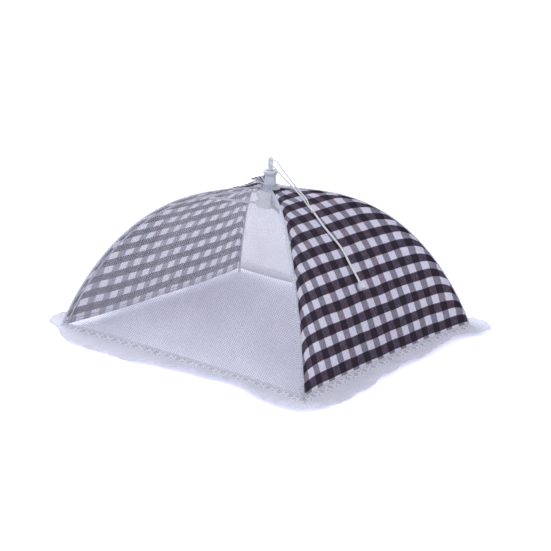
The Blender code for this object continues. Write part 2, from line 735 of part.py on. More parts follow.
def make_rib_tip(corner, carrier):
    """A plastic cap on the end of the rib, cut flat where it stands on the table."""
    end_r, end_z = rib_path()[-1]
    last_r, last_z = rib_path()[-2]
    end = in_rib_plane(corner, end_r, end_z)
    upwards = in_rib_plane(corner, last_r, last_z) - end
    bore = RIB_RADIUS + TOUCH_GAP
    points = [(0, -TOUCH_GAP), (bore, -TOUCH_GAP), (bore, TIP_GRIP), (TIP_RADIUS - TIP_BEVEL / 2, TIP_GRIP),
              (TIP_RADIUS, TIP_GRIP - TIP_BEVEL), (TIP_RADIUS, -TIP_FLOOR_OVERRUN), (0, -TIP_FLOOR_OVERRUN)]
    matrix = frame_matrix(end, hinge_axis(corner), upwards)
    tip = add_part("rib_tip_" + corner, profile_mesh("rib_tip", points, closed=False),
                   "crown_plastic", carrier, matrix)
    turn(tip, SMALL_ROUND_STEPS)
    size = TIP_RADIUS + TIP_FLOOR_OVERRUN
    block = box_mesh("table_cut", (2 * size, 2 * size, 2 * size))
    below = Matrix.Translation(Vector((end.x, end.y, -size)))
    boolean(tip, add_cutter("table_cut_" + corner, block, below))


def make_bracket(corner, carrier):
    """A clip on the rib with two cheeks, and the rivet that the stretcher turns on."""
    radius, height = rib_point(RIVET_ANGLE)
    ahead = Vector(rib_point(RIVET_ANGLE + DERIVATIVE_STEP)) - Vector(rib_point(RIVET_ANGLE - DERIVATIVE_STEP))
    along = in_rib_plane(corner, ahead.x, ahead.y).normalized()
    matrix = frame_matrix(in_rib_plane(corner, radius, height), along, -hinge_axis(corner))
    half_length = BRACKET_LENGTH / 2
    high = RIB_RADIUS + RUNNING_GAP + BRACKET_WALL
    low = -RIVET_DROP - BRACKET_FOOT
    quarter = math.pi / 2
    corners = ((half_length, high, 0), (-half_length, high, 1), (-half_length, low, 2), (half_length, low, 3))
    outline = []
    for x, y, turn_number in corners:
        centre = (x - math.copysign(BRACKET_ROUND, x), y - math.copysign(BRACKET_ROUND, y))
        outline += arc(centre, BRACKET_ROUND, turn_number * quarter, (turn_number + 1) * quarter, 3)
    width = 2 * (RIB_RADIUS + RUNNING_GAP + BRACKET_WALL)
    name = "stretcher_bracket_" + corner
    clip = add_part(name, plate_mesh(name, [outline], width), "zinc", carrier, matrix)
    across = frame_matrix(Vector(), Vector((0, 0, 1)), Vector((1, 0, 0)))
    bore = rod_mesh("rib_bore", RIB_RADIUS + RUNNING_GAP, BRACKET_LENGTH + CUT_OVERRUN)
    boolean(clip, add_cutter("rib_bore_" + corner, bore, matrix @ across))
    slot_width = STRETCHER_THICKNESS + 2 * RUNNING_GAP
    slot_height = RIVET_DROP + BRACKET_FOOT + CUT_OVERRUN
    slot = box_mesh("bracket_slot", (BRACKET_LENGTH + CUT_OVERRUN, slot_height, slot_width))
    lowered = matrix @ Matrix.Translation((0, -slot_height / 2, 0))
    boolean(clip, add_cutter("bracket_slot_" + corner, slot, lowered))
    rivet = rod_mesh("rivet", RIVET_RADIUS, width + BRACKET_WALL)
    spot = in_rib_plane(corner, RIVET_RADIUS_OUT, RIVET_HEIGHT)
    placed = frame_matrix(spot, Vector((0, 0, 1)), hinge_axis(corner))
    boolean(clip, add_cutter("rivet_" + corner, rivet, placed), "UNION")


def make_stretcher(corner, carrier):
    """A flat bar from the rivet towards the runner's ring wire, narrower at its inner end."""
    rivet = in_rib_plane(corner, RIVET_RADIUS_OUT, RIVET_HEIGHT)
    runner_end = in_rib_plane(corner, HINGE_RADIUS, RUNNER_PIVOT_HEIGHT)
    half = STRETCHER_HEIGHT / 2
    far = LINK_LENGTH - RING_WIRE_RADIUS - OPEN_PIVOT_GAP - STRETCHER_END_RADIUS
    neck = far - STRETCHER_TAPER
    quarter = math.pi / 2
    outline = arc((0, 0), half, quarter, 3 * quarter, 6) + [(neck, -half)]
    outline += arc((far, 0), STRETCHER_END_RADIUS, -quarter, quarter, 6) + [(neck, half)]
    hole = arc((0, 0), RIVET_RADIUS + RUNNING_GAP, 0, 4 * quarter, 12)[:-1]
    matrix = frame_matrix(rivet, runner_end - rivet, hinge_axis(corner))
    name = "stretcher_" + corner
    add_part(name, plate_mesh(name, [outline, hole], STRETCHER_THICKNESS), "zinc", carrier, matrix)


# Pull cord

# The route of each strand, in metres: out of its end of the post's cross hole, over the flange and
# the frill, and down the gingham panel to the knot.
CORD_ROUTE_A = [
    (0, -0.0002, 0.2555), (0, -0.0040, 0.2555), (0.0012, -0.0065, 0.2553), (0.0050, -0.0068, 0.2535),
    (0.0100, -0.0040, 0.2480), (0.0165, -0.0005, 0.2400), (0.0270, 0.0040, 0.2292),
    (0.0400, 0.0060, 0.2190), (0.0520, 0.0035, 0.2130), (0.0617, -0.0015, 0.2096),
    (0.0700, -0.0062, 0.2066), (0.0790, -0.0115, 0.2032),
]
CORD_ROUTE_B = [
    (0, 0.0002, 0.2555), (0, 0.0040, 0.2555), (0.0012, 0.0065, 0.2553), (0.0048, 0.0082, 0.2535),
    (0.0100, 0.0090, 0.2480), (0.0180, 0.0100, 0.2395), (0.0290, 0.0115, 0.2288),
    (0.0410, 0.0115, 0.2188), (0.0530, 0.0080, 0.2128), (0.0630, 0.0030, 0.2094),
    (0.0710, -0.0025, 0.2064), (0.0793, -0.0090, 0.2032),
]
# Both strands side by side, from the knot to the bead. This is the line between them.
CORD_ROUTE_PAIR = [
    (0.0903, -0.0155, 0.1992), (0.1000, -0.0166, 0.1915), (0.1137, -0.0188, 0.1809),
    (0.1287, -0.0160, 0.1668), (0.1416, -0.0128, 0.1525), (0.1562, -0.0127, 0.1330),
    (0.1657, -0.0124, 0.1210), (0.1724, -0.0138, 0.1138), (0.1782, -0.0159, 0.1079),
]
STRAND_SPREAD = 0.00096       # from that line to the middle of each strand


def smooth_route(route, count):
    """Points at an even pace on a smooth curve through a route."""
    points = [Vector(item) for item in route]
    padded = [2 * points[0] - points[1]] + points + [2 * points[-1] - points[-2]]
    dense = []
    for p0, p1, p2, p3 in zip(padded, padded[1:], padded[2:], padded[3:]):
        for i in range(ROUTE_STEPS):
            t = i / ROUTE_STEPS
            dense.append(0.5 * (2 * p1 + (p2 - p0) * t + (2 * p0 - 5 * p1 + 4 * p2 - p3) * t * t
                                + (3 * p1 - p0 - 3 * p2 + p3) * t ** 3))
    dense.append(points[-1])
    steps = [(b - a).length for a, b in zip(dense, dense[1:])]
    pace = sum(steps) / (count - 1)
    even, walked, wanted = [dense[0]], 0, pace
    for (start, end), step in zip(zip(dense, dense[1:]), steps):
        while walked + step >= wanted and len(even) < count - 1:
            even.append(start.lerp(end, (wanted - walked) / step))
            wanted += pace
        walked += step
    return even + [dense[-1]]


def make_cords(carrier):
    for name, upper, sign in (("pull_cord_a", CORD_ROUTE_A, -1), ("pull_cord_b", CORD_ROUTE_B, 1)):
        lower = [(x, y + sign * STRAND_SPREAD, z) for x, y, z in CORD_ROUTE_PAIR]
        route = smooth_route(upper + lower, CORD_POINTS)
        print(name, "length", round(sum((b - a).length for a, b in zip(route, route[1:])), 4))
        add_part(name, tube_mesh(name, route, CORD_RADIUS), "cord", carrier)


def make_on_cord(name, profile, route_point, before, after, look, carrier):
    """A turned piece threaded on both strands, with its axis along the cord."""
    along = Vector(after) - Vector(before)
    matrix = frame_matrix(Vector(route_point), Vector((0, 1, 0)), along)
    part = add_part(name, profile_mesh(name, profile, closed=True), look, carrier, matrix)
    turn(part, SMALL_ROUND_STEPS)


def make_knot_and_bead(carrier):
    half = KNOT_LENGTH / 2
    bore = CORD_BORE_RADIUS
    swell = [math.pi * i / 6 for i in range(7)]
    knot = [(bore + (KNOT_RADIUS - bore) * math.sin(a), half * math.cos(a)) for a in swell]
    make_on_cord("cord_knot", knot, CORD_ROUTE_PAIR[0], CORD_ROUTE_A[-1], CORD_ROUTE_PAIR[1],
                 "cord", carrier)
    half = BEAD_LENGTH / 2
    bead = [(bore, half), (BEAD_MOUTH_RADIUS, half), (BEAD_RADIUS, half - BEAD_BEVEL), (BEAD_RADIUS, 0),
            (BEAD_MOUTH_RADIUS, -half + BEAD_BEVEL), (BEAD_MOUTH_RADIUS - BEAD_BEVEL, -half), (bore, -half)]
    make_on_cord("pull_bead", bead, CORD_ROUTE_PAIR[-1], CORD_ROUTE_PAIR[-3], CORD_ROUTE_PAIR[-1],
                 "bead", carrier)


def half_name(kind, side, corner):
    """Such as lace_right_front: the half of the right side that is next to a front corner."""
    words = corner.split("_")
    other = words[0] if words[1] == side else words[1]
    return kind + "_" + side + "_" + other


def side_sign(side, corner):
    sign_x, sign_y = CORNERS[corner]
    return sign_y if SIDES[side][1].y else sign_x


def build():
    crown = add_carrier("crown_frame", (0, 0, HINGE_HEIGHT))
    make_crown_hub(crown)
    make_collar(crown)
    make_ring_wire("crown_ring_wire", HINGE_HEIGHT, crown)
    make_frill(crown)
    runner = add_carrier("runner_frame", (0, 0, RUNNER_PIVOT_HEIGHT))
    make_runner_hub(runner)
    make_runner_post(runner)
    make_ring_wire("runner_ring_wire", RUNNER_PIVOT_HEIGHT, runner)
    cord = add_carrier("cord_frame", (0, 0, POST_TOP_HEIGHT - CORD_HOLE_DROP))
    make_cords(cord)
    make_knot_and_bead(cord)
    for corner, (sign_x, sign_y) in CORNERS.items():
        rib = add_carrier("rib_frame_" + corner, in_rib_plane(corner, HINGE_RADIUS, HINGE_HEIGHT))
        make_rib(corner, rib)
        make_rib_tip(corner, rib)
        make_bracket(corner, rib)
        make_binding(corner, rib)
        rivet = in_rib_plane(corner, RIVET_RADIUS_OUT, RIVET_HEIGHT)
        make_stretcher(corner, add_carrier("stretcher_frame_" + corner, rivet))
        for side in (SIDE_OF_X[sign_x], SIDE_OF_Y[sign_y]):
            pivot = SIDES[side][0] * HINGE_RADIUS + Vector((0, 0, HINGE_HEIGHT))
            half = add_carrier(half_name("cloth_frame", side, corner), pivot)
            make_panel_half(side, corner, half)
            make_lace_half(side, corner, half)


clear_scene()
PARTS = new_collection("mesh_food_cover")
CUTTERS = new_collection("cutters")
build()
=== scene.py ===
"""Looks of the pop-up mesh food cover: cloth, net, lace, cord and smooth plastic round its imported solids.

Metres, +Z up, in the frame of the solids. The gingham panels face +X and -X, the net panels -Y and +Y.
"""
import math

import bmesh
import bpy
from mathutils import Matrix, Vector, noise


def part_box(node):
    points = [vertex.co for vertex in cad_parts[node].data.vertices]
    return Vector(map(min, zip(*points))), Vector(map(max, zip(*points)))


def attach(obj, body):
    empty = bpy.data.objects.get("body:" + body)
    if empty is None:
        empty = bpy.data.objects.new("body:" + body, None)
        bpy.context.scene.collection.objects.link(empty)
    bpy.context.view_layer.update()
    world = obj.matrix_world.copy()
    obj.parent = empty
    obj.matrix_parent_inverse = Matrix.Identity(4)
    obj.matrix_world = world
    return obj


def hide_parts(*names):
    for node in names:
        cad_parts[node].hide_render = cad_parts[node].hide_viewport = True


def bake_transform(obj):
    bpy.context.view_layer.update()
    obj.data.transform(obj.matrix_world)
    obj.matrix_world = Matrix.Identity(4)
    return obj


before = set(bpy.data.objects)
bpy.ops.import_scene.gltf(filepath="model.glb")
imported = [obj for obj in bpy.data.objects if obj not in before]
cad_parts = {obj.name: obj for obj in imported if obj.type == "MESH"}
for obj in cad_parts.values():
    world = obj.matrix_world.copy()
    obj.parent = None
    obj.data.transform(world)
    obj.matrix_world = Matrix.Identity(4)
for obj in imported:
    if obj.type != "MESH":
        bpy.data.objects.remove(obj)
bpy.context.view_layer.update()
UP = Vector((0, 0, 1))

# The cover's own sizes, as the solids have them.
BASE_LENGTH = 0.4536
BASE_WIDTH = 0.4064
RIDGE_HEIGHT = 0.215
CROWN_POWER = 2.8
SIDE_POWER = 0.88
PACE_POWER = 1.4
SIDE_SAG = 0.009
HEM_SAG = 0.008
SAG_POWER = 4
SAG_ROUND_POWER = 0.6
CROWN_HOLE_RADIUS = 0.0145
CANOPY_HEM_HEIGHT = 0.006
CLOTH_EDGE_INSET = 0.0001     # from the plane of a rib; the two cloths meet there in a seam
LACE_TOP_HEIGHT = 0.0100
RUFFLE_REACH = 0.0265
RUFFLE_CLEARANCE = 0.0012
RUFFLE_WAVE_HEIGHT = 0.0026
RUFFLE_WAVE_LENGTH = 0.067
RUFFLE_FOLD_HEIGHT = 0.0085   # of its edge where it reaches least
FAN_START_SHARE = 0.93
SEAM_TOP_RADIUS = 0.018
RIB_RADIUS = 0.00125
RIB_TOP_DEPTH = 0.0054
RIB_FOOT_DEPTH = 0.0064
RIB_END_HEIGHT = 0.0035
HINGE_RADIUS = 0.011
RING_WIRE_RADIUS = 0.0006
EYE_RADIUS = 0.0018
CROWN_HUB_TOP_GAP = 0.0024
TOUCH_GAP = 0.0003
POST_RADIUS = 0.0040
POST_BORE_RADIUS = 0.0049
POST_RISE = 0.046
POST_DOME_HEIGHT = 0.0030
POST_HOLE_SHARE = 1.5         # of the cord's radius
POST_HEAD_RADIUS = 0.0068
POST_HEAD_HEIGHT = 0.0022
LATCH_RIDGE_RADIUS = 0.0046
LATCH_RIDGE_HEIGHT = 0.0022
CORD_HOLE_DROP = 0.0055
COLLAR_BASE_RADIUS = 0.0125
COLLAR_BASE_HEIGHT = 0.0020
NECK_FOOT_RADIUS = 0.0092
NECK_TOP_RADIUS = 0.0082
NECK_HEIGHT = 0.0183
FLANGE_RADIUS = 0.0113
FLANGE_CONE_HEIGHT = 0.0050
FLANGE_RIM_HEIGHT = 0.0032
FRILL_INNER_RADIUS = 0.0100
FRILL_FOOT_GAP = 0.0016
FRILL_LIFT = 0.0006
CORD_RADIUS = 0.0008
CORD_LOOSE_RADIUS = 0.00092   # of its soft outer fibres
CORD_OPEN_SHARE = 0.46        # thicker, because its lay opens, where nothing pulls on it above the knot
CORD_OPEN_FIRST = 0.025       # share of its length where it starts to open
CORD_OPEN_LAST = 0.34         # where it starts to close again
CORD_OPEN_FADE = 0.05
CORD_GROOVE_SHARE = 0.09      # how much thinner it is between the strands that it is twisted from
LAID_STRANDS = 3
KNOT_RADIUS = 0.0032
KNOT_LENGTH = 0.0052
KNOT_TURNS = 2.6
KNOT_RINGS = 90
KNOT_TUCK_SHARE = 0.55        # how far its ends are drawn in
KNOT_TUCK_POWER = 0.35
KNOT_CORD_SHARE = 1.05        # of the cord's radius, which its windings lie inside its own
KNOT_CORD_LENGTH = 0.04
BEAD_RADIUS = 0.0063
BEAD_MOUTH_RADIUS = 0.0052
BEAD_LENGTH = 0.0112
BEAD_ROUND = 0.0012
BEAD_FLATS = 6
BEAD_FLAT_SHARE = 0.045
BEAD_LIP_SHARE = 1.3          # of its bore's radius; the flats start outside it
# Its outline between the ends of the bore: a size, the share of it, and the share of half its length.
BEAD_SHARES = (
    (BEAD_MOUTH_RADIUS, 0.96, 1.0), (BEAD_RADIUS, 1.0, 0.62), (BEAD_RADIUS, 0.985, -0.05),
    (BEAD_MOUTH_RADIUS, 0.86, -0.72), (BEAD_MOUTH_RADIUS, 0.62, -1.0),
)
CORD_BORE_RADIUS = 0.0023

HALF_LENGTH = BASE_LENGTH / 2
HALF_WIDTH = BASE_WIDTH / 2
HALF_DIAGONAL = math.hypot(HALF_LENGTH, HALF_WIDTH)
HINGE_HEIGHT = RIDGE_HEIGHT - RIB_TOP_DEPTH
CROWN_HUB_TOP = RIDGE_HEIGHT - CROWN_HUB_TOP_GAP
POST_TOP_HEIGHT = RIDGE_HEIGHT + POST_RISE
COLLAR_TOP = (CROWN_HUB_TOP + TOUCH_GAP + COLLAR_BASE_HEIGHT + NECK_HEIGHT
              + FLANGE_CONE_HEIGHT + FLANGE_RIM_HEIGHT)
MERGE_DISTANCE = 0.00001
DERIVATIVE_STEP = 0.001
BISECTION_STEPS = 50

# How fine the cloth is here, and how it wrinkles.
PANEL_COLUMNS = 44
PANEL_ROWS = 72
FOLD_REACH = 0.09             # from a rib to where the cloth follows the middle of its panel
SEAM_GAP = 0.00002            # between the two halves of a panel, which are one cloth on the real cover
PUCKER_HEIGHT = 0.0013
PUCKER_LENGTH = 0.016         # along the rib
PUCKER_REACH = 0.009          # from the rib to where the puckers are highest
PUCKER_NOISE_SCALES = (14, 3.1, 5.7)
UNEVEN_MIDDLE = 0.6           # of the shares by which wrinkles differ in height
UNEVEN_SPREAD = 0.8
GATHER_HEIGHT = 0.0008        # radial folds where the cloth is gathered under the neck
GATHER_REACH = 0.030
GATHER_FOLDS = 22
GATHER_START = 0.004          # from the hole to where the folds are in full
SLACK_HEIGHT = 0.0011         # soft hollows of a panel
SLACK_SCALE = 17.0
SLACK_REACH = 0.05            # from the rib to where they are in full
ROW_DIP = 0.0105
ROW_DIP_REACH = 0.0075
ROW_DIP_FADE = 0.050          # over this length from the hem, and from the crown, they straighten

LACE_COLUMNS = 130
LACE_ROWS = 26
LACE_THICKNESS = 0.0005
LACE_DEPTH = 0.046            # cut width of the lace, from its top edge to the edge of the ruffle
LACE_BAND_SHARE = 0.12        # of its rows lie on the panel
LACE_LIFT = 0.0006            # outside the panel
RUFFLE_SWAY = 0.0022          # how unevenly its edge runs
SWAY_NOISE_SCALES = (30, 4.0, 50)
SWAY_POWER = 6                # how late it fades towards a corner
RIPPLE_HEIGHT = 0.0016        # small waves between the large ones of the ruffle
RIPPLE_LENGTH = 0.021
RIPPLE_DRIFT = 2.2            # how unevenly the ripples follow each other, in radians
RIPPLE_NOISE_SCALE = 25
RUFFLE_FALL_POWER = 2.2       # how fast it comes down to the table
RUFFLE_RISE_POWER = 1.6       # how fast its waves grow towards its edge

SEAM_ROWS = 420
SEAM_COLUMNS = 10             # on the net, and two more on the gingham
SEAM_ON_NET = 0.0056          # how far the gathers of the seam reach over the net
SEAM_ON_NET_TOP = 0.0130
SEAM_WIDTH_SHARES = {"front_left": 0.60, "back_left": 0.60}
SEAM_ON_GINGHAM = 0.0003
SEAM_THICKNESS = 0.0003
SEAM_LIFT = 0.0007
SEAM_GATHER_HEIGHT = 0.0011
SEAM_GATHER_LENGTH = 0.0062
SEAM_BEND = 2.5               # how unevenly the gathers follow each other, in radians
SEAM_SLANT = 1.3              # how far a gather leans, from the seam to its other end
SEAM_TAPER = 1.6              # how soon the gathers get as short as at the hem
SEAM_EDGE_DROP = 0.6          # share of its lift that it loses at the gingham's edge
SEAM_END_DROP = 0.75          # and at its other edge, on the net
SEAM_RISE_SLOPE = 1.25
SEAM_RISE_POWER = 0.8
SEAM_WIDTH_MIDDLE = 0.85
SEAM_WIDTH_SPREAD = 0.30
SEAM_NOISE_SCALES = {"width": 110, "bend": 60, "size": 45}
SEAM_SEEDS = (11.0, 5.0)
STITCH_PITCH = 0.0034
STITCH_LENGTH = 0.0022
STITCH_RADIUS = 0.00022
STITCH_INSET = 0.0010         # from the seam
STITCH_RISE_SHARE = 0.4       # of its radius, above the cloth

# A side: its outward direction, the direction along it, and its two half sizes.
SIDES = {
    "right": (Vector((1, 0, 0)), Vector((0, 1, 0)), HALF_LENGTH, HALF_WIDTH),
    "left": (Vector((-1, 0, 0)), Vector((0, 1, 0)), HALF_LENGTH, HALF_WIDTH),
    "back": (Vector((0, 1, 0)), Vector((1, 0, 0)), HALF_WIDTH, HALF_LENGTH),
    "front": (Vector((0, -1, 0)), Vector((1, 0, 0)), HALF_WIDTH, HALF_LENGTH),
}
CLOTH_NAMES = {"right": "gingham", "left": "gingham", "back": "mesh", "front": "mesh"}
CORNERS = {
    "front_left": (-1, -1),
    "front_right": (1, -1),
    "back_right": (1, 1),
    "back_left": (-1, 1),
}
# How far the ruffle spreads at nine places along a side, as shares of RUFFLE_REACH, in wide, uneven waves.
REACH_SHARES = {
    "front": (0.84, 1.74, 1.80, 1.78, 1.34, 1.10, 0.84, 1.36, 1.38),
    "right": (1.38, 1.66, 1.54, 1.28, 1.18, 1.22, 0.98, 0.84, 1.36),
    "back": (1.00, 0.80, 0.60, 0.85, 0.65, 1.05, 0.90, 0.95, 1.36),
    "left": (0.84, 0.76, 0.85, 1.40, 1.05, 0.80, 1.45, 1.00, 1.00),
}
REACH_FLAT_SHARE = 1.70       # spread this far, it lies flat
RUFFLE_EDGE_RISE = 0.0085
# Where folds of its edge stand highest, at the same nine places.
RISE_SHARES = {
    "front": (0.4, 0.1, 0.0, 0.0, 0.0, 0.0, 0.0, 0.0, 0.0),
    "left": (0.5, 1.1, 0.4, 0.0, 0.0, 0.0, 0.0, 0.0, 0.0),
}
# How far the lobe of a corner is turned, on its two sides, from the diagonal.
LOBE_TURNS = {
    ("right", "back_right"): -0.60,
    ("back", "back_right"): 0.60,
    ("front", "front_left"): -0.55,
    ("left", "front_left"): 0.55,
}
SIDE_OF_X = {1: "right", -1: "left"}
SIDE_OF_Y = {1: "back", -1: "front"}

# The cords' routes, as the solids have them.
CORD_ROUTE_A = [
    (0, -0.0002, 0.2555), (0, -0.0040, 0.2555), (0.0012, -0.0065, 0.2553), (0.0050, -0.0068, 0.2535),
    (0.0100, -0.0040, 0.2480), (0.0165, -0.0005, 0.2400), (0.0270, 0.0040, 0.2292),
    (0.0400, 0.0060, 0.2190), (0.0520, 0.0035, 0.2130), (0.0617, -0.0015, 0.2096),
    (0.0700, -0.0062, 0.2066), (0.0790, -0.0115, 0.2032),
]
CORD_ROUTE_B = [
    (0, 0.0002, 0.2555), (0, 0.0040, 0.2555), (0.0012, 0.0065, 0.2553), (0.0048, 0.0082, 0.2535),
    (0.0100, 0.0090, 0.2480), (0.0180, 0.0100, 0.2395), (0.0290, 0.0115, 0.2288),
    (0.0410, 0.0115, 0.2188), (0.0530, 0.0080, 0.2128), (0.0630, 0.0030, 0.2094),
    (0.0710, -0.0025, 0.2064), (0.0793, -0.0090, 0.2032),
]
CORD_ROUTE_PAIR = [
    (0.0903, -0.0155, 0.1992), (0.1000, -0.0166, 0.1915), (0.1137, -0.0188, 0.1809),
    (0.1287, -0.0160, 0.1668), (0.1416, -0.0128, 0.1525), (0.1562, -0.0127, 0.1330),
    (0.1657, -0.0124, 0.1210), (0.1724, -0.0138, 0.1138), (0.1782, -0.0159, 0.1079),
]
STRAND_SPREAD = 0.00096
ROUTE_STEPS = 20
CORD_RINGS = 560
CORD_SIDES = 12
CORD_LAY = 0.0046             # one turn of the strands that the cord is twisted from
CORD_LENGTH = 0.249

# Gingham.
CHECK_WIDTH = 0.0286          # one stripe and one white column
STRIPE_WIDTH = 0.0138
CHECK_HEIGHT = 0.0269         # one dark and one white row
DARK_ROW_HEIGHT = 0.0138
ROW_SHIFTS = {"right": 0.0030, "left": -0.0034}     # how much lower the rows of a side are cut
ROW_UNEVENNESS = 0.0011
ROW_NOISE_SCALES = (24, 30, 40)
CHECK_WANDER = 0.0016
LOWEST_DARK_ROW = 0.0232      # its middle, up from the table along the middle of the panel
STRIPE_SOFTNESS = 0.0010
HEM_FOLD_HEIGHT = 0.0094      # of the painted shade line along the turn at the hem, up from the table
HEM_FOLD_WIDTH = 0.0012
HEM_FOLD_SOFTNESS = 0.0004
# How dark the painted shade along the turn of the hem is.
HEM_FOLD_PAINTED_SHADE = 0.75
YARN_PITCH = 0.00062
SLUB_PITCH = 0.0013           # of the thicker yarns, which show from a step away
SLUB_RUN = 160.0              # how often they change along their length, in a metre

# Net.
NET_PITCH = 0.0028
NET_YARN_SHARE = 0.24
NET_YARN_COVER = 0.78
NET_HAZE = 0.185              # the finest yarns, too thin to see one by one
NET_GATHER_REACH = 0.060      # from the crown, where the net is drawn together
NET_GATHER_COVER = 0.12
NET_PLEAT_SCALES = (420.0, 70.0)
BACK_NET_CLOSENESS = 0.26     # it hangs slack, so more of its yarns lie in front of each other
SEAM_STREAK_SCALES = (130.0, 620.0)

# Lace.
FLOWER_PITCH = 0.0205
FLOWER_HEIGHT = 0.0082        # middle of a flower below the top edge of the lace
PETALS = 6
PETAL_REACH = 0.0031
PETAL_HALF_LENGTH = 0.0017
PETAL_HALF_WIDTH = 0.00095
LEAF_TILT = 0.45
LEAF_LENGTH_SHARE = 1.3       # of a petal's
EYELET_RADIUS = 0.00095
BAND_DEPTH = 0.0172           # from the top edge of the lace to where the ruffle starts
BAND_FADE = 0.0006
EDGE_SCALLOP = 0.0051
SCALLOP_DEPTH = 0.0013
LACE_NET_PITCH = 0.0012
LACE_EDGE_WIDTH = 0.0016
LACE_EDGE_FADE = 0.0005
BACK_LACE_CLOSENESS = 0.55
BACK_LACE_FADE = 0.15         # of cloth, from the middle to where the lace is as close as elsewhere


# The dome

def dome(angle):
    share = max(math.sin(angle), 0) ** (2 / CROWN_POWER)
    return share, RIDGE_HEIGHT * max(math.cos(angle), 0) ** (2 * SIDE_POWER)


def angle_at_height(height):
    return math.acos((height / RIDGE_HEIGHT) ** (1 / (2 * SIDE_POWER)))


def angle_at_share(share):
    return math.asin(share ** (CROWN_POWER / 2))


def paced(first, last, share):
    return first + (last - first) * share ** PACE_POWER


def sag(share):
    return SIDE_SAG * (4 * share * (1 - share)) ** SAG_ROUND_POWER + HEM_SAG * share ** 2


def panel_point(side, angle, across):
    outward, along, half_out, half_along = SIDES[side]
    share, height = dome(angle)
    draw_in = sag(share) * (1 - abs(across) ** SAG_POWER)
    return (outward * (half_out * share - draw_in) + along * (half_along * share * across)
            + Vector((0, 0, height)))


def panel_normal(side, angle, across):
    step = DERIVATIVE_STEP
    low, high = max(angle - step, step), min(angle + step, math.pi / 2 - step)
    down = panel_point(side, high, across) - panel_point(side, low, across)
    inner, outer = max(across - step, -1), min(across + step, 1)
    over = panel_point(side, angle, outer) - panel_point(side, angle, inner)
    normal = down.cross(over)
    outward = SIDES[side][0] + UP
    return normal.normalized() * (1 if normal.dot(outward) > 0 else -1)


def across_at(side, angle, share_across, sign):
    share = dome(angle)[0]
    half_along = SIDES[side][3]
    first = SEAM_GAP / (half_along * share)
    last = 1 - CLOTH_EDGE_INSET * HALF_DIAGONAL / (HALF_LENGTH * HALF_WIDTH * share)
    return sign * (first + (last - first) * math.sin(share_across * math.pi / 2))


def solve(function, target, low, high):
    for _ in range(BISECTION_STEPS):
        middle = (low + high) / 2
        if function(middle) < target:
            low = middle
        else:
            high = middle
    return (low + high) / 2


def hole_angle(side, across):
    return solve(lambda a: panel_point(side, a, across).xy.length, CROWN_HOLE_RADIUS,
                 DERIVATIVE_STEP, math.pi / 4)


def ridge(angle):
    share, height = dome(angle)
    return HALF_DIAGONAL * share, height


def rib_point(angle):
    step = DERIVATIVE_STEP
    r0, z0 = ridge(max(angle - step, step))
    r1, z1 = ridge(angle + step)
    length = math.hypot(r1 - r0, z1 - z0)
    radius, height = ridge(angle)
    depth = RIB_TOP_DEPTH + (RIB_FOOT_DEPTH - RIB_TOP_DEPTH) * dome(angle)[0] ** 2
    return radius + depth * (z1 - z0) / length, height - depth * (r1 - r0) / length


def corner_direction(corner):
    sign_x, sign_y = CORNERS[corner]
    return Vector((sign_x * HALF_LENGTH, sign_y * HALF_WIDTH, 0)).normalized()


def hinge_axis(corner):
    return UP.cross(corner_direction(corner))


def in_rib_plane(corner, radius, height):
    return corner_direction(corner) * radius + Vector((0, 0, height))


def half_name(kind, side, corner):
    words = corner.split("_")
    other = words[0] if words[1] == side else words[1]
    return kind + "_" + side + "_" + other


def side_sign(side, corner):
    sign_x, sign_y = CORNERS[corner]
    return sign_y if SIDES[side][1].y else sign_x


def middle_arcs(side, steps=900):
    """Lengths from the table up the middle of a panel, at evenly spaced angles from the top down."""
    lengths = [0.0]
    last = panel_point(side, math.pi / 2, 0)
    for i in range(1, steps + 1):
        point = panel_point(side, math.pi / 2 * (1 - i / steps), 0)
        lengths.append(lengths[-1] + (point - last).length)
        last = point
    return lengths


ARCS = {side: middle_arcs(side) for side in SIDES}


def arc_up(side, angle):
    """Length of cloth from the table to an angle of the dome, along the middle of a panel."""
    lengths = ARCS[side]
    spot = (1 - angle / (math.pi / 2)) * (len(lengths) - 1)
    low = min(int(spot), len(lengths) - 2)
    return lengths[low] + (lengths[low + 1] - lengths[low]) * (spot - low)


# Meshes

def link(name, mesh):
    piece = bpy.data.objects.new(name, mesh)
    bpy.context.scene.collection.objects.link(piece)
    return piece


def finished(name, shape, sharp_degrees=None):
    """The smooth mesh of a shape, with sharp edges where its faces turn by more than the angle."""
    mesh = bpy.data.meshes.new(name)
    shape.to_mesh(mesh)
    shape.free()
    mesh.shade_smooth()
    if sharp_degrees:
        mesh.set_sharp_from_angle(angle=math.radians(sharp_degrees))
    return mesh


def grid_mesh(name, place, columns, rows, outward, closed=False):
    """A grid on a formula: place(across, down) gives a point and a place on the cloth, from shares.

    outward is a direction that most of its faces turn to.
    """
    shape = bmesh.new()
    bmesh.ops.create_grid(shape, x_segments=columns, y_segments=rows, size=0.5, calc_uvs=True)
    spots = {}
    for vert in shape.verts:
        share = (round(vert.co.x + 0.5, 6), round(0.5 - vert.co.y, 6))
        point, cloth = place(*share)
        spots[vert] = cloth
        vert.co = point
    layer = shape.loops.layers.uv.new("UVMap")
    for face in shape.faces:
        for loop in face.loops:
            loop[layer].uv = spots[loop.vert]
    if closed:
        bmesh.ops.remove_doubles(shape, verts=shape.verts, dist=MERGE_DISTANCE)
    shape.normal_update()
    if sum(face.normal.dot(outward) for face in shape.faces) < 0:
        bmesh.ops.reverse_faces(shape, faces=shape.faces)
    return finished(name, shape)


def thicken(piece, thickness):
    shell = piece.modifiers.new("thickness", "SOLIDIFY")
    shell.thickness = thickness
    shell.offset = 1


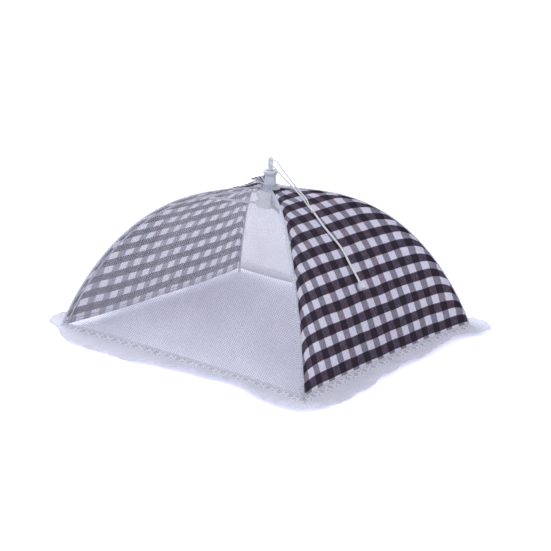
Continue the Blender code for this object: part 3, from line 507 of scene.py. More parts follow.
def turned_mesh(name, profile, steps=96, closed=True):
    """A profile of radius and height, turned about Z. It runs down its outer side."""
    shape = bmesh.new()
    verts = [shape.verts.new((r, 0, z)) for r, z in profile]
    edges = [shape.edges.new(pair) for pair in zip(verts, verts[1:])]
    if closed:
        edges.append(shape.edges.new((verts[-1], verts[0])))
    bmesh.ops.spin(shape, geom=verts + edges, cent=(0, 0, 0), axis=(0, 0, 1), dvec=(0, 0, 0),
                   angle=math.tau, steps=steps, use_merge=True, use_duplicate=False)
    bmesh.ops.remove_doubles(shape, verts=shape.verts, dist=MERGE_DISTANCE)
    bmesh.ops.recalc_face_normals(shape, faces=shape.faces)
    return finished(name, shape, 40)


def rounded(points, radius, steps=4):
    """The same outline with its corners rounded, where their edges are long enough."""
    result = []
    count = len(points)
    for i, point in enumerate(points):
        here = Vector(point)
        before, after = Vector(points[i - 1]) - here, Vector(points[(i + 1) % count]) - here
        reach = min(radius, before.length * 0.45, after.length * 0.45)
        start, end = here + before.normalized() * reach, here + after.normalized() * reach
        for k in range(steps + 1):
            t = k / steps
            result.append(start * (1 - t) ** 2 + here * 2 * t * (1 - t) + end * t * t)
    return [tuple(point) for point in result]


def frames_along(points):
    """Two directions square to a line at each of its points, which turn as little as they can."""
    side = UP.cross(points[1] - points[0])
    side = side.normalized() if side.length > MERGE_DISTANCE else Vector((1, 0, 0))
    result = []
    for i in range(len(points)):
        ahead = (points[min(i + 1, len(points) - 1)] - points[max(i - 1, 0)]).normalized()
        side = (side - ahead * side.dot(ahead)).normalized()
        result.append((side, ahead.cross(side)))
    return result


def tube_mesh(name, points, radius_at, sides, closed=False):
    """A tube along a line; radius_at takes the share of its length and the angle round it."""
    shape = bmesh.new()
    rings = []
    count = len(points)
    for i, (point, (side, over)) in enumerate(zip(points, frames_along(points))):
        ring = []
        for k in range(sides):
            angle = math.tau * k / sides
            reach = radius_at(i / (count - 1), angle)
            ring.append(shape.verts.new(point + (side * math.cos(angle) + over * math.sin(angle)) * reach))
        rings.append(ring)
    pairs = list(zip(rings, rings[1:]))
    if closed:
        pairs.append((rings[-1], rings[0]))
    for near, far in pairs:
        for k in range(sides):
            shape.faces.new((near[k], near[(k + 1) % sides], far[(k + 1) % sides], far[k]))
    if not closed:
        shape.faces.new(list(reversed(rings[0])))
        shape.faces.new(rings[-1])
    bmesh.ops.recalc_face_normals(shape, faces=shape.faces)
    return finished(name, shape, 60)


def frame_matrix(origin, x_axis, z_axis):
    z_axis = z_axis.normalized()
    y_axis = z_axis.cross(x_axis).normalized()
    x_axis = y_axis.cross(z_axis)
    turned = Matrix((x_axis, y_axis, z_axis)).transposed().to_4x4()
    return Matrix.Translation(origin) @ turned


# Nodes

MIX_SOCKETS = {"RGBA": (6, 7, 2), "FLOAT": (2, 3, 0)}


class Wire:
    """An output of a node. Reckoning with it adds the Math nodes that do so."""

    def __init__(self, nodes, socket):
        self.nodes = nodes
        self.socket = socket

    def __add__(self, other):
        return self.nodes.maths("ADD", self, other)

    def __sub__(self, other):
        return self.nodes.maths("SUBTRACT", self, other)

    def __rsub__(self, other):
        return self.nodes.maths("SUBTRACT", other, self)

    def __mul__(self, other):
        return self.nodes.maths("MULTIPLY", self, other)

    def __truediv__(self, other):
        return self.nodes.maths("DIVIDE", self, other)

    def __pow__(self, other):
        return self.nodes.maths("POWER", self, other)


class Nodes:
    """The node tree of a material or a world, with short ways to add to it."""

    def __init__(self, owner):
        owner.use_nodes = True
        self.owner = owner
        self.tree = owner.node_tree
        self.tree.nodes.clear()

    def add(self, kind, settings=None, **inputs):
        node = self.tree.nodes.new("ShaderNode" + kind)
        for key, value in (settings or {}).items():
            setattr(node, key, value)
        for key, value in inputs.items():
            self.feed(node.inputs[key.replace("_", " ")], value)
        return node

    def output(self, kind, which=0, settings=None, **inputs):
        return Wire(self, self.add(kind, settings, **inputs).outputs[which])

    def feed(self, socket, value):
        value = getattr(value, "socket", value)
        if isinstance(value, bpy.types.NodeSocket):
            self.tree.links.new(value, socket)
        elif hasattr(value, "__len__") and len(value) == 3 and socket.type == "RGBA":
            socket.default_value = (*value, 1)
        else:
            socket.default_value = value

    def in_turn(self, kind, values, settings=None, output=0):
        """A node whose first inputs get the values one after another."""
        node = self.add(kind, settings)
        for socket, value in zip(node.inputs, values):
            self.feed(socket, value)
        return Wire(self, node.outputs[output])

    def maths(self, operation, *values):
        return self.in_turn("Math", values, {"operation": operation})

    def most(self, first, second):
        return self.maths("MAXIMUM", first, second)

    def mix(self, share, first, second, kind="RGBA"):
        """Between two colours, or between two numbers where the kind is FLOAT."""
        node = self.add("Mix", {"data_type": kind})
        low, high, output = MIX_SOCKETS[kind]
        for number, value in ((0, share), (low, first), (high, second)):
            self.feed(node.inputs[number], value)
        return Wire(self, node.outputs[output])

    def tones(self, share, colour, low, high):
        """A colour between two of its own tones."""
        return self.mix(share, toned(colour, low), toned(colour, high))

    def step(self, value, low, high):
        """0 below low, 1 above high, smooth between them. Low may be the larger."""
        ends = (low, high, 0.0, 1.0) if low <= high else (high, low, 1.0, 0.0)
        return self.in_turn("MapRange", (value, *ends), {"interpolation_type": "SMOOTHSTEP"})

    def cloth(self):
        """The two coordinates on the cloth, in metres."""
        split = self.add("SeparateXYZ", Vector=self.output("UVMap", settings={"uv_map": "UVMap"}))
        return Wire(self, split.outputs[0]), Wire(self, split.outputs[1])

    def noise(self, scale, detail=3.0, vector=None):
        vector = vector or self.output("TexCoord", "Object")
        return self.output("TexNoise", "Fac", Vector=vector, Scale=scale, Detail=detail, Roughness=0.5)

    def streaks(self, u, v, u_scale, v_scale):
        """Noise on the cloth, drawn out along one of its ways."""
        return self.noise(1.0, 2.0, self.output("CombineXYZ", X=u * u_scale, Y=v * v_scale))

    def cell(self, coordinate, period, middle=0.0):
        """Distance from the middle of the nearest repeat."""
        shifted = (coordinate - middle) / period + 0.5
        return (self.maths("FRACT", shifted) - 0.5) * period

    def stripes(self, coordinate, period, width, middle, softness):
        """1 on stripes of that width, whose middles lie at middle and every period from it."""
        distance = self.maths("ABSOLUTE", self.cell(coordinate, period, middle))
        return self.step(distance, (width + softness) / 2, (width - softness) / 2)

    def bias_yarns(self, u, v, pitch, width, softness):
        """The two sets of yarns of a net."""
        return [self.stripes(way, pitch, width, 0.0, softness) for way in (u + v, u - v)]

    def random(self, *values):
        """A fixed random number for each whole number in the values."""
        place = self.in_turn("CombineXYZ", values)
        return self.output("TexWhiteNoise", "Value", {"noise_dimensions": "3D"}, Vector=place)

    def bump(self, height, distance, strength=1.0, normal=None):
        node = self.add("Bump", Strength=strength, Distance=distance, Height=height)
        if normal:
            self.feed(node.inputs["Normal"], normal)
        return Wire(self, node.outputs[0])

    def roughness(self, value, middle, spread):
        """Rougher and smoother by a share, as a noise goes up and down."""
        ends = (0.3, 0.7, middle * (1 - spread), middle * (1 + spread))
        return self.in_turn("MapRange", (value, *ends))

    def blend(self, share, first, second):
        return self.in_turn("MixShader", (share, first, second))

    def seen(self):
        """1 where the camera looks, by itself or in a mirror or through glass."""
        path = self.add("LightPath")
        camera, glossy, through = (Wire(self, path.outputs["Is %s Ray" % kind])
                                   for kind in ("Camera", "Glossy", "Transmission"))
        return self.most(camera, self.most(glossy, through))

    def finish(self, shader, kind="OutputMaterial"):
        self.add(kind, Surface=shader)
        return self.owner

    def finish_solid(self, **inputs):
        return self.finish(self.output("BsdfPrincipled", **inputs))

    def finish_cloth(self, shade, normal, through, cover=None, **inputs):
        """Cloth that lets a share of the light through, and is clear where its cover is under 1."""
        cloth = self.output("BsdfPrincipled", Base_Color=shade, Normal=normal, **inputs)
        glow = self.output("BsdfTranslucent", Color=shade, Normal=normal)
        threads = self.blend(through, cloth, glow)
        if cover:
            threads = self.blend(cover, self.output("BsdfTransparent"), threads)
        return self.finish(threads)


# Materials

WHITE_CLOTH = (0.685, 0.67, 0.785)
STRIPE_GREY = (0.265, 0.250, 0.325)
STRIPE_MAUVE = (0.295, 0.235, 0.305)
ROW_GREY = (0.052, 0.043, 0.066)
ROW_BROWN = (0.076, 0.045, 0.064)
CROSS_BLACK = (0.023, 0.016, 0.028)
NET_COLOUR = (0.475, 0.48, 0.57)
LACE_COLOUR = (0.76, 0.765, 0.83)
# Painted shade: the dark grey in the lace's holes, for the shade behind them.
EYELET_PAINTED_SHADE = (0.30, 0.30, 0.36)
SEAM_COLOUR = (0.68, 0.69, 0.81)
THREAD_LIGHT = (0.78, 0.78, 0.84)
THREAD_DARK = (0.66, 0.66, 0.74)
PLASTIC_COLOUR = (0.53, 0.55, 0.63)
HUB_COLOUR = (0.95, 0.955, 0.98)
LATCH_COLOUR = (0.57, 0.59, 0.66)
STEEL_COLOUR = (0.55, 0.56, 0.58)
ZINC_COLOUR = (0.50, 0.51, 0.53)
CORD_COLOUR = (0.68, 0.68, 0.73)
BEAD_COLOUR = (0.80, 0.83, 0.90)


def toned(colour, factor):
    return tuple(part * factor for part in colour)


def material_nodes(name):
    return Nodes(bpy.data.materials.new(name))


def gingham_colour(nodes, u, v):
    """The woven check: stripes up the panel, dark rows over it, and black where they cross; and painted
    shade along the turn of the hem.
    """
    wander = (nodes.noise(28.0, 2.0) - 0.5) * CHECK_WANDER
    stripe = nodes.stripes(u + wander, CHECK_WIDTH, STRIPE_WIDTH, CHECK_WIDTH / 2, STRIPE_SOFTNESS)
    row = nodes.stripes(v - wander, CHECK_HEIGHT, DARK_ROW_HEIGHT, LOWEST_DARK_ROW, STRIPE_SOFTNESS)
    column_number = nodes.maths("FLOOR", u / CHECK_WIDTH)
    row_number = nodes.maths("FLOOR", v / CHECK_HEIGHT)
    column_random = nodes.random(column_number, 0.0, 0.0)
    cell_random = nodes.random(column_number, row_number, 3.0)
    warp = nodes.streaks(u, v, 1 / SLUB_PITCH, SLUB_RUN)
    weft = nodes.streaks(u, v, SLUB_RUN, 1 / SLUB_PITCH)
    white = nodes.tones(nodes.step((warp + weft) * 0.5, 0.36, 0.60), WHITE_CLOTH, 0.84, 1.07)
    grey = nodes.mix(nodes.step(column_random, 0.30, 0.70), STRIPE_GREY, STRIPE_MAUVE)
    grey = nodes.mix(nodes.step(warp, 0.60, 0.34), grey, toned(STRIPE_GREY, 0.66))
    dark = nodes.mix(nodes.step(cell_random, 0.25, 0.75), ROW_GREY, ROW_BROWN)
    dark = nodes.mix(nodes.step(warp, 0.46, 0.66), dark, toned(ROW_GREY, 2.1))
    check = nodes.mix(row, nodes.mix(stripe, white, grey), nodes.mix(stripe, dark, CROSS_BLACK))
    # Painted shade: a dark grey line along the turn of the hem, where the fold lies in shade.
    hem = nodes.stripes(v, 1.0, HEM_FOLD_WIDTH, HEM_FOLD_HEIGHT, HEM_FOLD_SOFTNESS)
    return nodes.mix(hem * HEM_FOLD_PAINTED_SHADE, check, ROW_GREY)


def gingham_material(name="gingham_cotton"):
    nodes = material_nodes(name)
    u, v = nodes.cloth()
    colour = gingham_colour(nodes, u, v)
    over, under = (nodes.maths("SINE", way * (math.tau / YARN_PITCH)) for way in (u, v))
    normal = nodes.bump(over * under, 0.00008, 0.5)
    normal = nodes.bump(nodes.noise(90.0), 0.0006, 0.35, normal)
    return nodes.finish_cloth(colour, normal, through=0.45, Roughness=0.86, Sheen_Weight=0.05,
                              Sheen_Roughness=0.5, Specular_IOR_Level=0.20)


def net_material(name="fine_net", closeness=0.0):
    """Fine white net: two sets of yarns on the bias, clear between them."""
    nodes = material_nodes(name)
    u, v = nodes.cloth()
    pitch = NET_PITCH * math.sqrt(2)
    width = pitch * NET_YARN_SHARE
    first, second = nodes.bias_yarns(u, v, pitch, width, width * 0.5)
    yarn = nodes.most(first, second)
    uneven = nodes.step(nodes.noise(16.0, 2.0), 0.25, 0.75)
    crown = ARCS["front"][-1]
    pleats = nodes.step(nodes.streaks(u, v, *NET_PLEAT_SCALES), 0.25, 0.65)
    drawn = nodes.step(v, crown - NET_GATHER_REACH, crown) * pleats
    haze = uneven * NET_HAZE + (NET_HAZE + closeness) + drawn * NET_GATHER_COVER
    cover = nodes.most(yarn * NET_YARN_COVER, haze)
    colour = nodes.tones(first * second, NET_COLOUR, 1, 1.12)
    return nodes.finish_cloth(colour, nodes.bump(yarn, 0.0002, 0.4), through=0.35, cover=cover,
                              Roughness=0.7, Sheen_Weight=0.1, Specular_IOR_Level=0.3)


def ellipse(nodes, x, y, half_x, half_y):
    """Under 1 inside an ellipse round the origin."""
    square_x, square_y = ((nodes.maths("ABSOLUTE", place) / half) ** 2.0
                          for place, half in ((x, half_x), (y, half_y)))
    return square_x + square_y


def flower_holes(nodes, u, v):
    """1 in the petals and the eyelets of the lace band."""
    x = nodes.cell(u, FLOWER_PITCH)
    y = v - FLOWER_HEIGHT
    distance = nodes.maths("SQRT", x ** 2.0 + y ** 2.0)
    folded = nodes.cell(nodes.maths("ARCTAN2", y, x), math.tau / PETALS)
    petal_x = distance * nodes.maths("COSINE", folded) - PETAL_REACH
    petal_y = distance * nodes.maths("SINE", folded)
    petals = nodes.step(ellipse(nodes, petal_x, petal_y, PETAL_HALF_LENGTH, PETAL_HALF_WIDTH), 1.15, 0.85)
    core = nodes.step(distance, EYELET_RADIUS * 1.1, EYELET_RADIUS * 0.7)
    between = nodes.cell(u, FLOWER_PITCH, FLOWER_PITCH / 2)
    holes = nodes.most(petals, core)
    for offset in (-1, 1):
        tilted = y - offset * PETAL_REACH + between * (LEAF_TILT * offset)
        leaf = ellipse(nodes, between, tilted, PETAL_HALF_LENGTH * LEAF_LENGTH_SHARE, PETAL_HALF_WIDTH)
        holes = nodes.most(holes, nodes.step(leaf, 1.15, 0.85))
    dots = ellipse(nodes, nodes.cell(u, EDGE_SCALLOP), v - (BAND_DEPTH - EYELET_RADIUS * 2),
                   EYELET_RADIUS, EYELET_RADIUS)
    return nodes.most(holes, nodes.step(dots, 1.2, 0.8))


def lace_material(name="white_lace", closeness=1.0):
    """White lace. A closeness below 1 thins it, less and less towards the right-hand end."""
    nodes = material_nodes(name)
    u, v = nodes.cloth()
    in_band = nodes.step(v, BAND_DEPTH + BAND_FADE, BAND_DEPTH)
    holes = flower_holes(nodes, u, v) * in_band
    scallop = nodes.maths("ABSOLUTE", nodes.maths("SINE", u * (math.pi / EDGE_SCALLOP)))
    on_cloth = nodes.step(v - (1.0 - scallop) * SCALLOP_DEPTH, 0.0, 0.0003)
    pitch = LACE_NET_PITCH * math.sqrt(2)
    net = nodes.most(*nodes.bias_yarns(u, v, pitch, pitch * 0.42, pitch * 0.2))
    edge = nodes.step(v, LACE_DEPTH - LACE_EDGE_WIDTH, LACE_DEPTH - LACE_EDGE_WIDTH + LACE_EDGE_FADE)
    ruffle_cover = nodes.most(nodes.most(net * 0.82, 0.50), edge * 0.95)
    cover = nodes.mix(in_band, ruffle_cover, nodes.most(net * 0.92, 0.55), "FLOAT")
    open_share = holes * 0.92
    cover = cover * (1.0 - open_share * 0.35) * on_cloth
    cover = cover * (nodes.step(u, 0.0, BACK_LACE_FADE) * (1.0 - closeness) + closeness)
    # Painted shade: the petals and eyelets are coloured dark grey, for the shade that shows through them.
    shade = nodes.mix(open_share, nodes.tones(nodes.noise(45.0), LACE_COLOUR, 0.90, 1.08), EYELET_PAINTED_SHADE)
    return nodes.finish_cloth(shade, nodes.bump(net - holes, 0.0003, 0.6), through=0.42, cover=cover,
                              Roughness=0.8, Sheen_Weight=0.15, Specular_IOR_Level=0.25)


def seam_material(name="gathered_seam_net"):
    """Net drawn up in fine gathers, thick at the seam and thin at its other edge."""
    nodes = material_nodes(name)
    u, v = nodes.cloth()
    gathers = nodes.streaks(u, v, *SEAM_STREAK_SCALES)
    cover = nodes.step(u, SEAM_ON_NET, 0.0) * 0.50 + 0.10 + (gathers - 0.5) * 0.9
    clamped = nodes.maths("MINIMUM", nodes.most(cover, 0.05), 0.97)
    shade = nodes.tones(gathers, SEAM_COLOUR, 0.85, 1.12)
    return nodes.finish_cloth(shade, nodes.bump(gathers, 0.0004, 0.6), through=0.3, cover=clamped,
                              Roughness=0.8, Sheen_Weight=0.15, Specular_IOR_Level=0.25)


def gathered_net_material(name="gathered_net"):
    """Net that is folded on itself, so that it hardly shows what is behind it."""
    nodes = material_nodes(name)
    u, v = nodes.cloth()
    net = nodes.most(*nodes.bias_yarns(u, v, NET_PITCH, NET_PITCH * 0.3, NET_PITCH * 0.15))
    shade = nodes.tones(net, NET_COLOUR, 1.15, 1.32)
    return nodes.finish_cloth(shade, nodes.bump(net, 0.0002, 0.4), through=0.3, cover=net * 0.30 + 0.34,
                              Roughness=0.8, Sheen_Weight=0.1, Specular_IOR_Level=0.25)


def stitch_material(name="white_thread"):
    nodes = material_nodes(name)
    shade = nodes.mix(nodes.noise(400.0, 2.0), THREAD_LIGHT, THREAD_DARK)
    return nodes.finish_solid(Base_Color=shade, Roughness=0.7, Sheen_Weight=0.2, Specular_IOR_Level=0.3)


def plastic_material(name, colour, roughness, speckle):
    nodes = material_nodes(name)
    shade = nodes.tones(nodes.noise(60.0), colour, 1 - speckle, 1 + speckle)
    rough = nodes.roughness(nodes.noise(240.0), roughness, 0.12)
    normal = nodes.bump(nodes.noise(900.0, 2.0), 0.00005, 0.25)
    return nodes.finish_solid(Base_Color=shade, Roughness=rough, Normal=normal, Subsurface_Weight=0.12,
                              Subsurface_Scale=0.002)


def bead_material(name="clear_bead"):
    nodes = material_nodes(name)
    shade = nodes.tones(nodes.noise(180.0, 2.0), BEAD_COLOUR, 0.95, 1)
    normal = nodes.bump(nodes.noise(260.0, 2.0), 0.0001, 0.3)
    return nodes.finish_solid(Base_Color=shade, Roughness=0.16, IOR=1.49, Normal=normal,
                              Transmission_Weight=0.35, Subsurface_Weight=0.3, Subsurface_Scale=0.003)


def steel_material(name, colour, roughness, along):
    """Drawn wire or rolled strip: fine lines along the metal, and slight clouding."""
    nodes = material_nodes(name)
    point = nodes.output("TexCoord", "Object")
    lines = nodes.noise(1.0, 3.0, nodes.output("Mapping", Vector=point, Scale=along))
    shade = nodes.tones(nodes.noise(50.0), colour, 0.86, 1.1)
    rough = nodes.roughness(lines, roughness, 0.3)
    return nodes.finish_solid(Base_Color=shade, Metallic=1.0, Roughness=rough,
                              Normal=nodes.bump(lines, 0.00005, 0.3))


def cord_material(name="twisted_cord"):
    nodes = material_nodes(name)
    fibre = nodes.noise(1500.0, 2.0)
    shade = nodes.tones(fibre, CORD_COLOUR, 0.88, 1.05)
    return nodes.finish_solid(Base_Color=shade, Roughness=0.75, Sheen_Weight=0.2, Specular_IOR_Level=0.3,
                              Normal=nodes.bump(fibre, 0.00008, 0.4))


MATERIALS = {
    "gingham": gingham_material(),
    "net": net_material(),
    "back_net": net_material("slack_net", BACK_NET_CLOSENESS),
    "lace": lace_material(),
    "back_lace": lace_material("thin_lace", BACK_LACE_CLOSENESS),
    "seam": seam_material(),
    "thread": stitch_material(),
    "gathered_net": gathered_net_material(),
    "crown": plastic_material("crown_plastic", PLASTIC_COLOUR, 0.42, 0.03),
    "hub": plastic_material("hub_plastic", HUB_COLOUR, 0.45, 0.03),
    "latch": plastic_material("latch_plastic", LATCH_COLOUR, 0.30, 0.02),
    "bead": bead_material(),
    "rib_steel": steel_material("spring_steel", STEEL_COLOUR, 0.30, (900.0, 900.0, 60.0)),
    "zinc": steel_material("zinc_plate", ZINC_COLOUR, 0.36, (300.0, 300.0, 900.0)),
    "cord": cord_material(),
}


def dress(piece, material, body=None, replaced=()):
    """Give a piece its material and slot, and set it on its body."""
    piece.data.materials.clear()
    piece.data.materials.append(MATERIALS[material])
    if replaced:
        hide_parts(*replaced)
    if body:
        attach(piece, body)
    return piece


# Camera

CAMERA_AZIMUTH = 0.6762       # round from the front, in radians
CAMERA_ELEVATION = 0.32747
CAMERA_DISTANCE = 2.2753
CAMERA_ROLL = 0.0195
LENS = 100.0
SENSOR = 36.0
PHOTO_SIDE = 551
# Pixels from the point over the origin to the middle of the photograph.
CENTRE_OFFSET = (8.10, 53.43)


def compass(azimuth, elevation):
    """The direction to a place round from the front and up, in radians."""
    return Vector((math.sin(azimuth) * math.cos(elevation), -math.cos(azimuth) * math.cos(elevation),
                   math.sin(elevation)))


def make_camera():
    back = compass(CAMERA_AZIMUTH, CAMERA_ELEVATION)
    level = Vector((math.cos(CAMERA_AZIMUTH), math.sin(CAMERA_AZIMUTH), 0))
    upright = back.cross(level)
    right = level * math.cos(CAMERA_ROLL) + upright * math.sin(CAMERA_ROLL)
    above = upright * math.cos(CAMERA_ROLL) - level * math.sin(CAMERA_ROLL)
    focal = LENS / SENSOR * PHOTO_SIDE
    aim = (right * CENTRE_OFFSET[0] + above * CENTRE_OFFSET[1] - back * focal).normalized()
    side = (right - aim * right.dot(aim)).normalized()
    turned = Matrix((side, side.cross(aim), -aim)).transposed().to_4x4()
    data = bpy.data.cameras.new("camera")
    data.lens = LENS
    data.sensor_width = SENSOR
    camera = link("camera", data)
    camera.matrix_world = Matrix.Translation(back * CAMERA_DISTANCE) @ turned
    bpy.context.scene.camera = camera


# Cords

def smooth_route(route, count):
    points = [Vector(item) for item in route]
    padded = [2 * points[0] - points[1]] + points + [2 * points[-1] - points[-2]]
    dense = []
    for p0, p1, p2, p3 in zip(padded, padded[1:], padded[2:], padded[3:]):
        for i in range(ROUTE_STEPS):
            t = i / ROUTE_STEPS
            dense.append(0.5 * (2 * p1 + (p2 - p0) * t + (2 * p0 - 5 * p1 + 4 * p2 - p3) * t * t
                                + (3 * p1 - p0 - 3 * p2 + p3) * t ** 3))
    dense.append(points[-1])
    steps = [(b - a).length for a, b in zip(dense, dense[1:])]
    pace = sum(steps) / (count - 1)
    even, walked, wanted = [dense[0]], 0, pace
    for (start, end), step in zip(zip(dense, dense[1:]), steps):
        while walked + step >= wanted and len(even) < count - 1:
            even.append(start.lerp(end, (wanted - walked) / step))
            wanted += pace
        walked += step
    return even + [dense[-1]]


def twisted(length, open_share=0):
    """Radius round a cord of three strands laid together."""
    turns = length / CORD_LAY

    def radius_at(share, angle):
        lobe = math.cos(LAID_STRANDS * (angle - math.tau * turns * share / LAID_STRANDS))
        free = ease((share - CORD_OPEN_FIRST) / CORD_OPEN_FADE)
        free *= 1 - ease((share - CORD_OPEN_LAST) / CORD_OPEN_FADE)
        return CORD_LOOSE_RADIUS * (1 + open_share * free) * (1 + CORD_GROOVE_SHARE * (lobe - 1))
    return radius_at


def make_cords():
    bead = make_bead()
    knot = make_knot()
    for letter, upper, sign in (("a", CORD_ROUTE_A, -1), ("b", CORD_ROUTE_B, 1)):
        lower = [(x, y + sign * STRAND_SPREAD, z) for x, y, z in CORD_ROUTE_PAIR]
        route = smooth_route(upper + lower, CORD_RINGS)
        name = "cord_strand_" + letter
        mesh = tube_mesh(name, route, twisted(CORD_LENGTH, CORD_OPEN_SHARE), CORD_SIDES)
        cord = dress(link(name, mesh), "cord", replaced=["pull_cord_" + letter])
        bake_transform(cord)


def place_on_cord(piece, middle, before, after):
    along = Vector(after) - Vector(before)
    piece.matrix_world = frame_matrix(Vector(middle), Vector((0, 1, 0)), along)


def make_bead():
    """A clear bell with six soft flats, and a bore for the two strands."""
    half = BEAD_LENGTH / 2
    outline = [(size * wide, half * high) for size, wide, high in BEAD_SHARES]
    outline = [(CORD_BORE_RADIUS, half)] + outline + [(CORD_BORE_RADIUS, -half)]
    mesh = turned_mesh("pull_cord_bead", rounded(outline, BEAD_ROUND, 5))
    for vert in mesh.vertices:
        radius = vert.co.xy.length
        if radius < CORD_BORE_RADIUS * BEAD_LIP_SHARE:
            continue
        angle = math.atan2(vert.co.y, vert.co.x)
        flat = 1 - BEAD_FLAT_SHARE * (1 - math.cos(BEAD_FLATS * angle)) / 2
        vert.co.x *= flat
        vert.co.y *= flat
    bead = link("pull_cord_bead", mesh)
    place_on_cord(bead, CORD_ROUTE_PAIR[-1], CORD_ROUTE_PAIR[-3], CORD_ROUTE_PAIR[-1])
    return dress(bead, "bead", "pull_cord", ["pull_bead"])


def make_knot():
    """Three tight turns of cord round the two strands."""
    wound = KNOT_RADIUS - CORD_RADIUS * KNOT_CORD_SHARE
    points = []
    for i in range(KNOT_RINGS + 1):
        share = i / KNOT_RINGS
        angle = math.tau * KNOT_TURNS * share
        tuck = 1 - math.sin(math.pi * share) ** KNOT_TUCK_POWER
        radius = wound * (1 - KNOT_TUCK_SHARE * tuck)
        points.append(Vector((radius * math.cos(angle), radius * math.sin(angle),
                              (share - 0.5) * (KNOT_LENGTH - 2 * CORD_RADIUS))))
    mesh = tube_mesh("wound_knot", points, twisted(KNOT_CORD_LENGTH), CORD_SIDES)
    knot = link("wound_knot", mesh)
    place_on_cord(knot, CORD_ROUTE_PAIR[0], CORD_ROUTE_A[-1], CORD_ROUTE_PAIR[1])
    return dress(knot, "cord", "pull_cord", ["cord_knot"])


# Cloth

def ease(share):
    share = min(max(share, 0), 1)
    return share * share * (3 - 2 * share)


def uneven(x, y, z):
    """A share that goes up and down from place to place."""
    return UNEVEN_MIDDLE + UNEVEN_SPREAD * noise.noise(Vector((x, y, z)))


def rib_distance(side, angle, across):
    """About how far a point of a panel is from the rib, along the cloth."""
    return SIDES[side][3] * dome(angle)[0] * (1 - abs(across))


def wrinkle(side, corner, angle, across):
    """How far the cloth stands out from its plain form."""
    away = rib_distance(side, angle, across)
    up = arc_up(side, angle)
    size = uneven(*(spot * scale for spot, scale in zip((up, *CORNERS[corner]), PUCKER_NOISE_SCALES)))
    rise = away / PUCKER_REACH * math.exp(1 - away / PUCKER_REACH)
    pucker = PUCKER_HEIGHT * rise * size * math.sin(math.tau * up / PUCKER_LENGTH + 2 * size)
    point = panel_point(side, angle, across)
    radius = point.xy.length - CROWN_HOLE_RADIUS
    around = math.atan2(point.y, point.x)
    gather = GATHER_HEIGHT * math.exp(-max(radius, 0) / GATHER_REACH) * math.cos(GATHER_FOLDS * around)
    gather *= min(max(radius, 0) / GATHER_START, 1)
    slack = SLACK_HEIGHT * noise.noise(point * SLACK_SCALE) * min(away / SLACK_REACH, 1)
    return pucker + gather + slack


def make_cloth_half(side, corner):
    """Half a panel of net or gingham, from the middle to its rib."""
    outward = SIDES[side][0] + UP
    sign = side_sign(side, corner)
    hem_angle = angle_at_height(CANOPY_HEM_HEIGHT)
    gingham = CLOTH_NAMES[side] == "gingham"

    def place(share_across, share_down):
        rib_side = hole_angle(side, sign)
        first = hole_angle(side, across_at(side, rib_side, share_across, sign))
        angle = paced(first, hem_angle, share_down)
        across = across_at(side, angle, share_across, sign)
        point = panel_point(side, angle, across)
        point += panel_normal(side, angle, across) * (wrinkle(side, corner, angle, across) - TOUCH_GAP)
        away = rib_distance(side, angle, across)
        up = arc_up(side, angle)
        fade = ease((up - LACE_TOP_HEIGHT) / ROW_DIP_FADE) * ease(point.xy.length / ROW_DIP_FADE)
        dip = ROW_DIP * math.exp(-away / ROW_DIP_REACH) * fade
        along = SIDES[side][3] * dome(angle)[0] * across
        spot = [size * scale for size, scale in zip((along, up, SIDES[side][2]), ROW_NOISE_SCALES)]
        slack = ROW_UNEVENNESS * noise.noise(Vector(spot))
        return point, (along, up + dip + slack + ROW_SHIFTS.get(side, 0))

    name = half_name("gingham_cloth" if gingham else "net_cloth", side, corner)
    mesh = grid_mesh(name, place, PANEL_COLUMNS, PANEL_ROWS, outward)
    piece = link(name, mesh)
    net = "back_net" if side == "back" else "net"
    dress(piece, "gingham" if gingham else net,
          replaced=[half_name(CLOTH_NAMES[side] + "_panel", side, corner)])
    across_rib(piece, corner, side)
    return piece


def across_rib(piece, corner, side):
    """Set a piece's place into its mesh. The way in from the rib is worked out, but nothing uses it."""
    inwards = hinge_axis(corner)
    if inwards.dot(SIDES[side][0] + SIDES[side][1] * -side_sign(side, corner)) < 0:
        inwards = -inwards
    start = in_rib_plane(corner, HINGE_RADIUS, HINGE_HEIGHT)
    start + inwards * FOLD_REACH
    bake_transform(piece)


def ruffle_wave(side, across):
    waves = round(2 * SIDES[side][3] / RUFFLE_WAVE_LENGTH)
    return (1 + math.cos(math.pi * waves * (1 - across))) / 2


def share_across_side(table, side, across):
    """A value between the nine of a side."""
    shares = table.get(side, (0, 0))
    spot = (across + 1) / 2 * (len(shares) - 1)
    low = min(int(spot), len(shares) - 2)
    return shares[low] + (shares[low + 1] - shares[low]) * ease(spot - low)


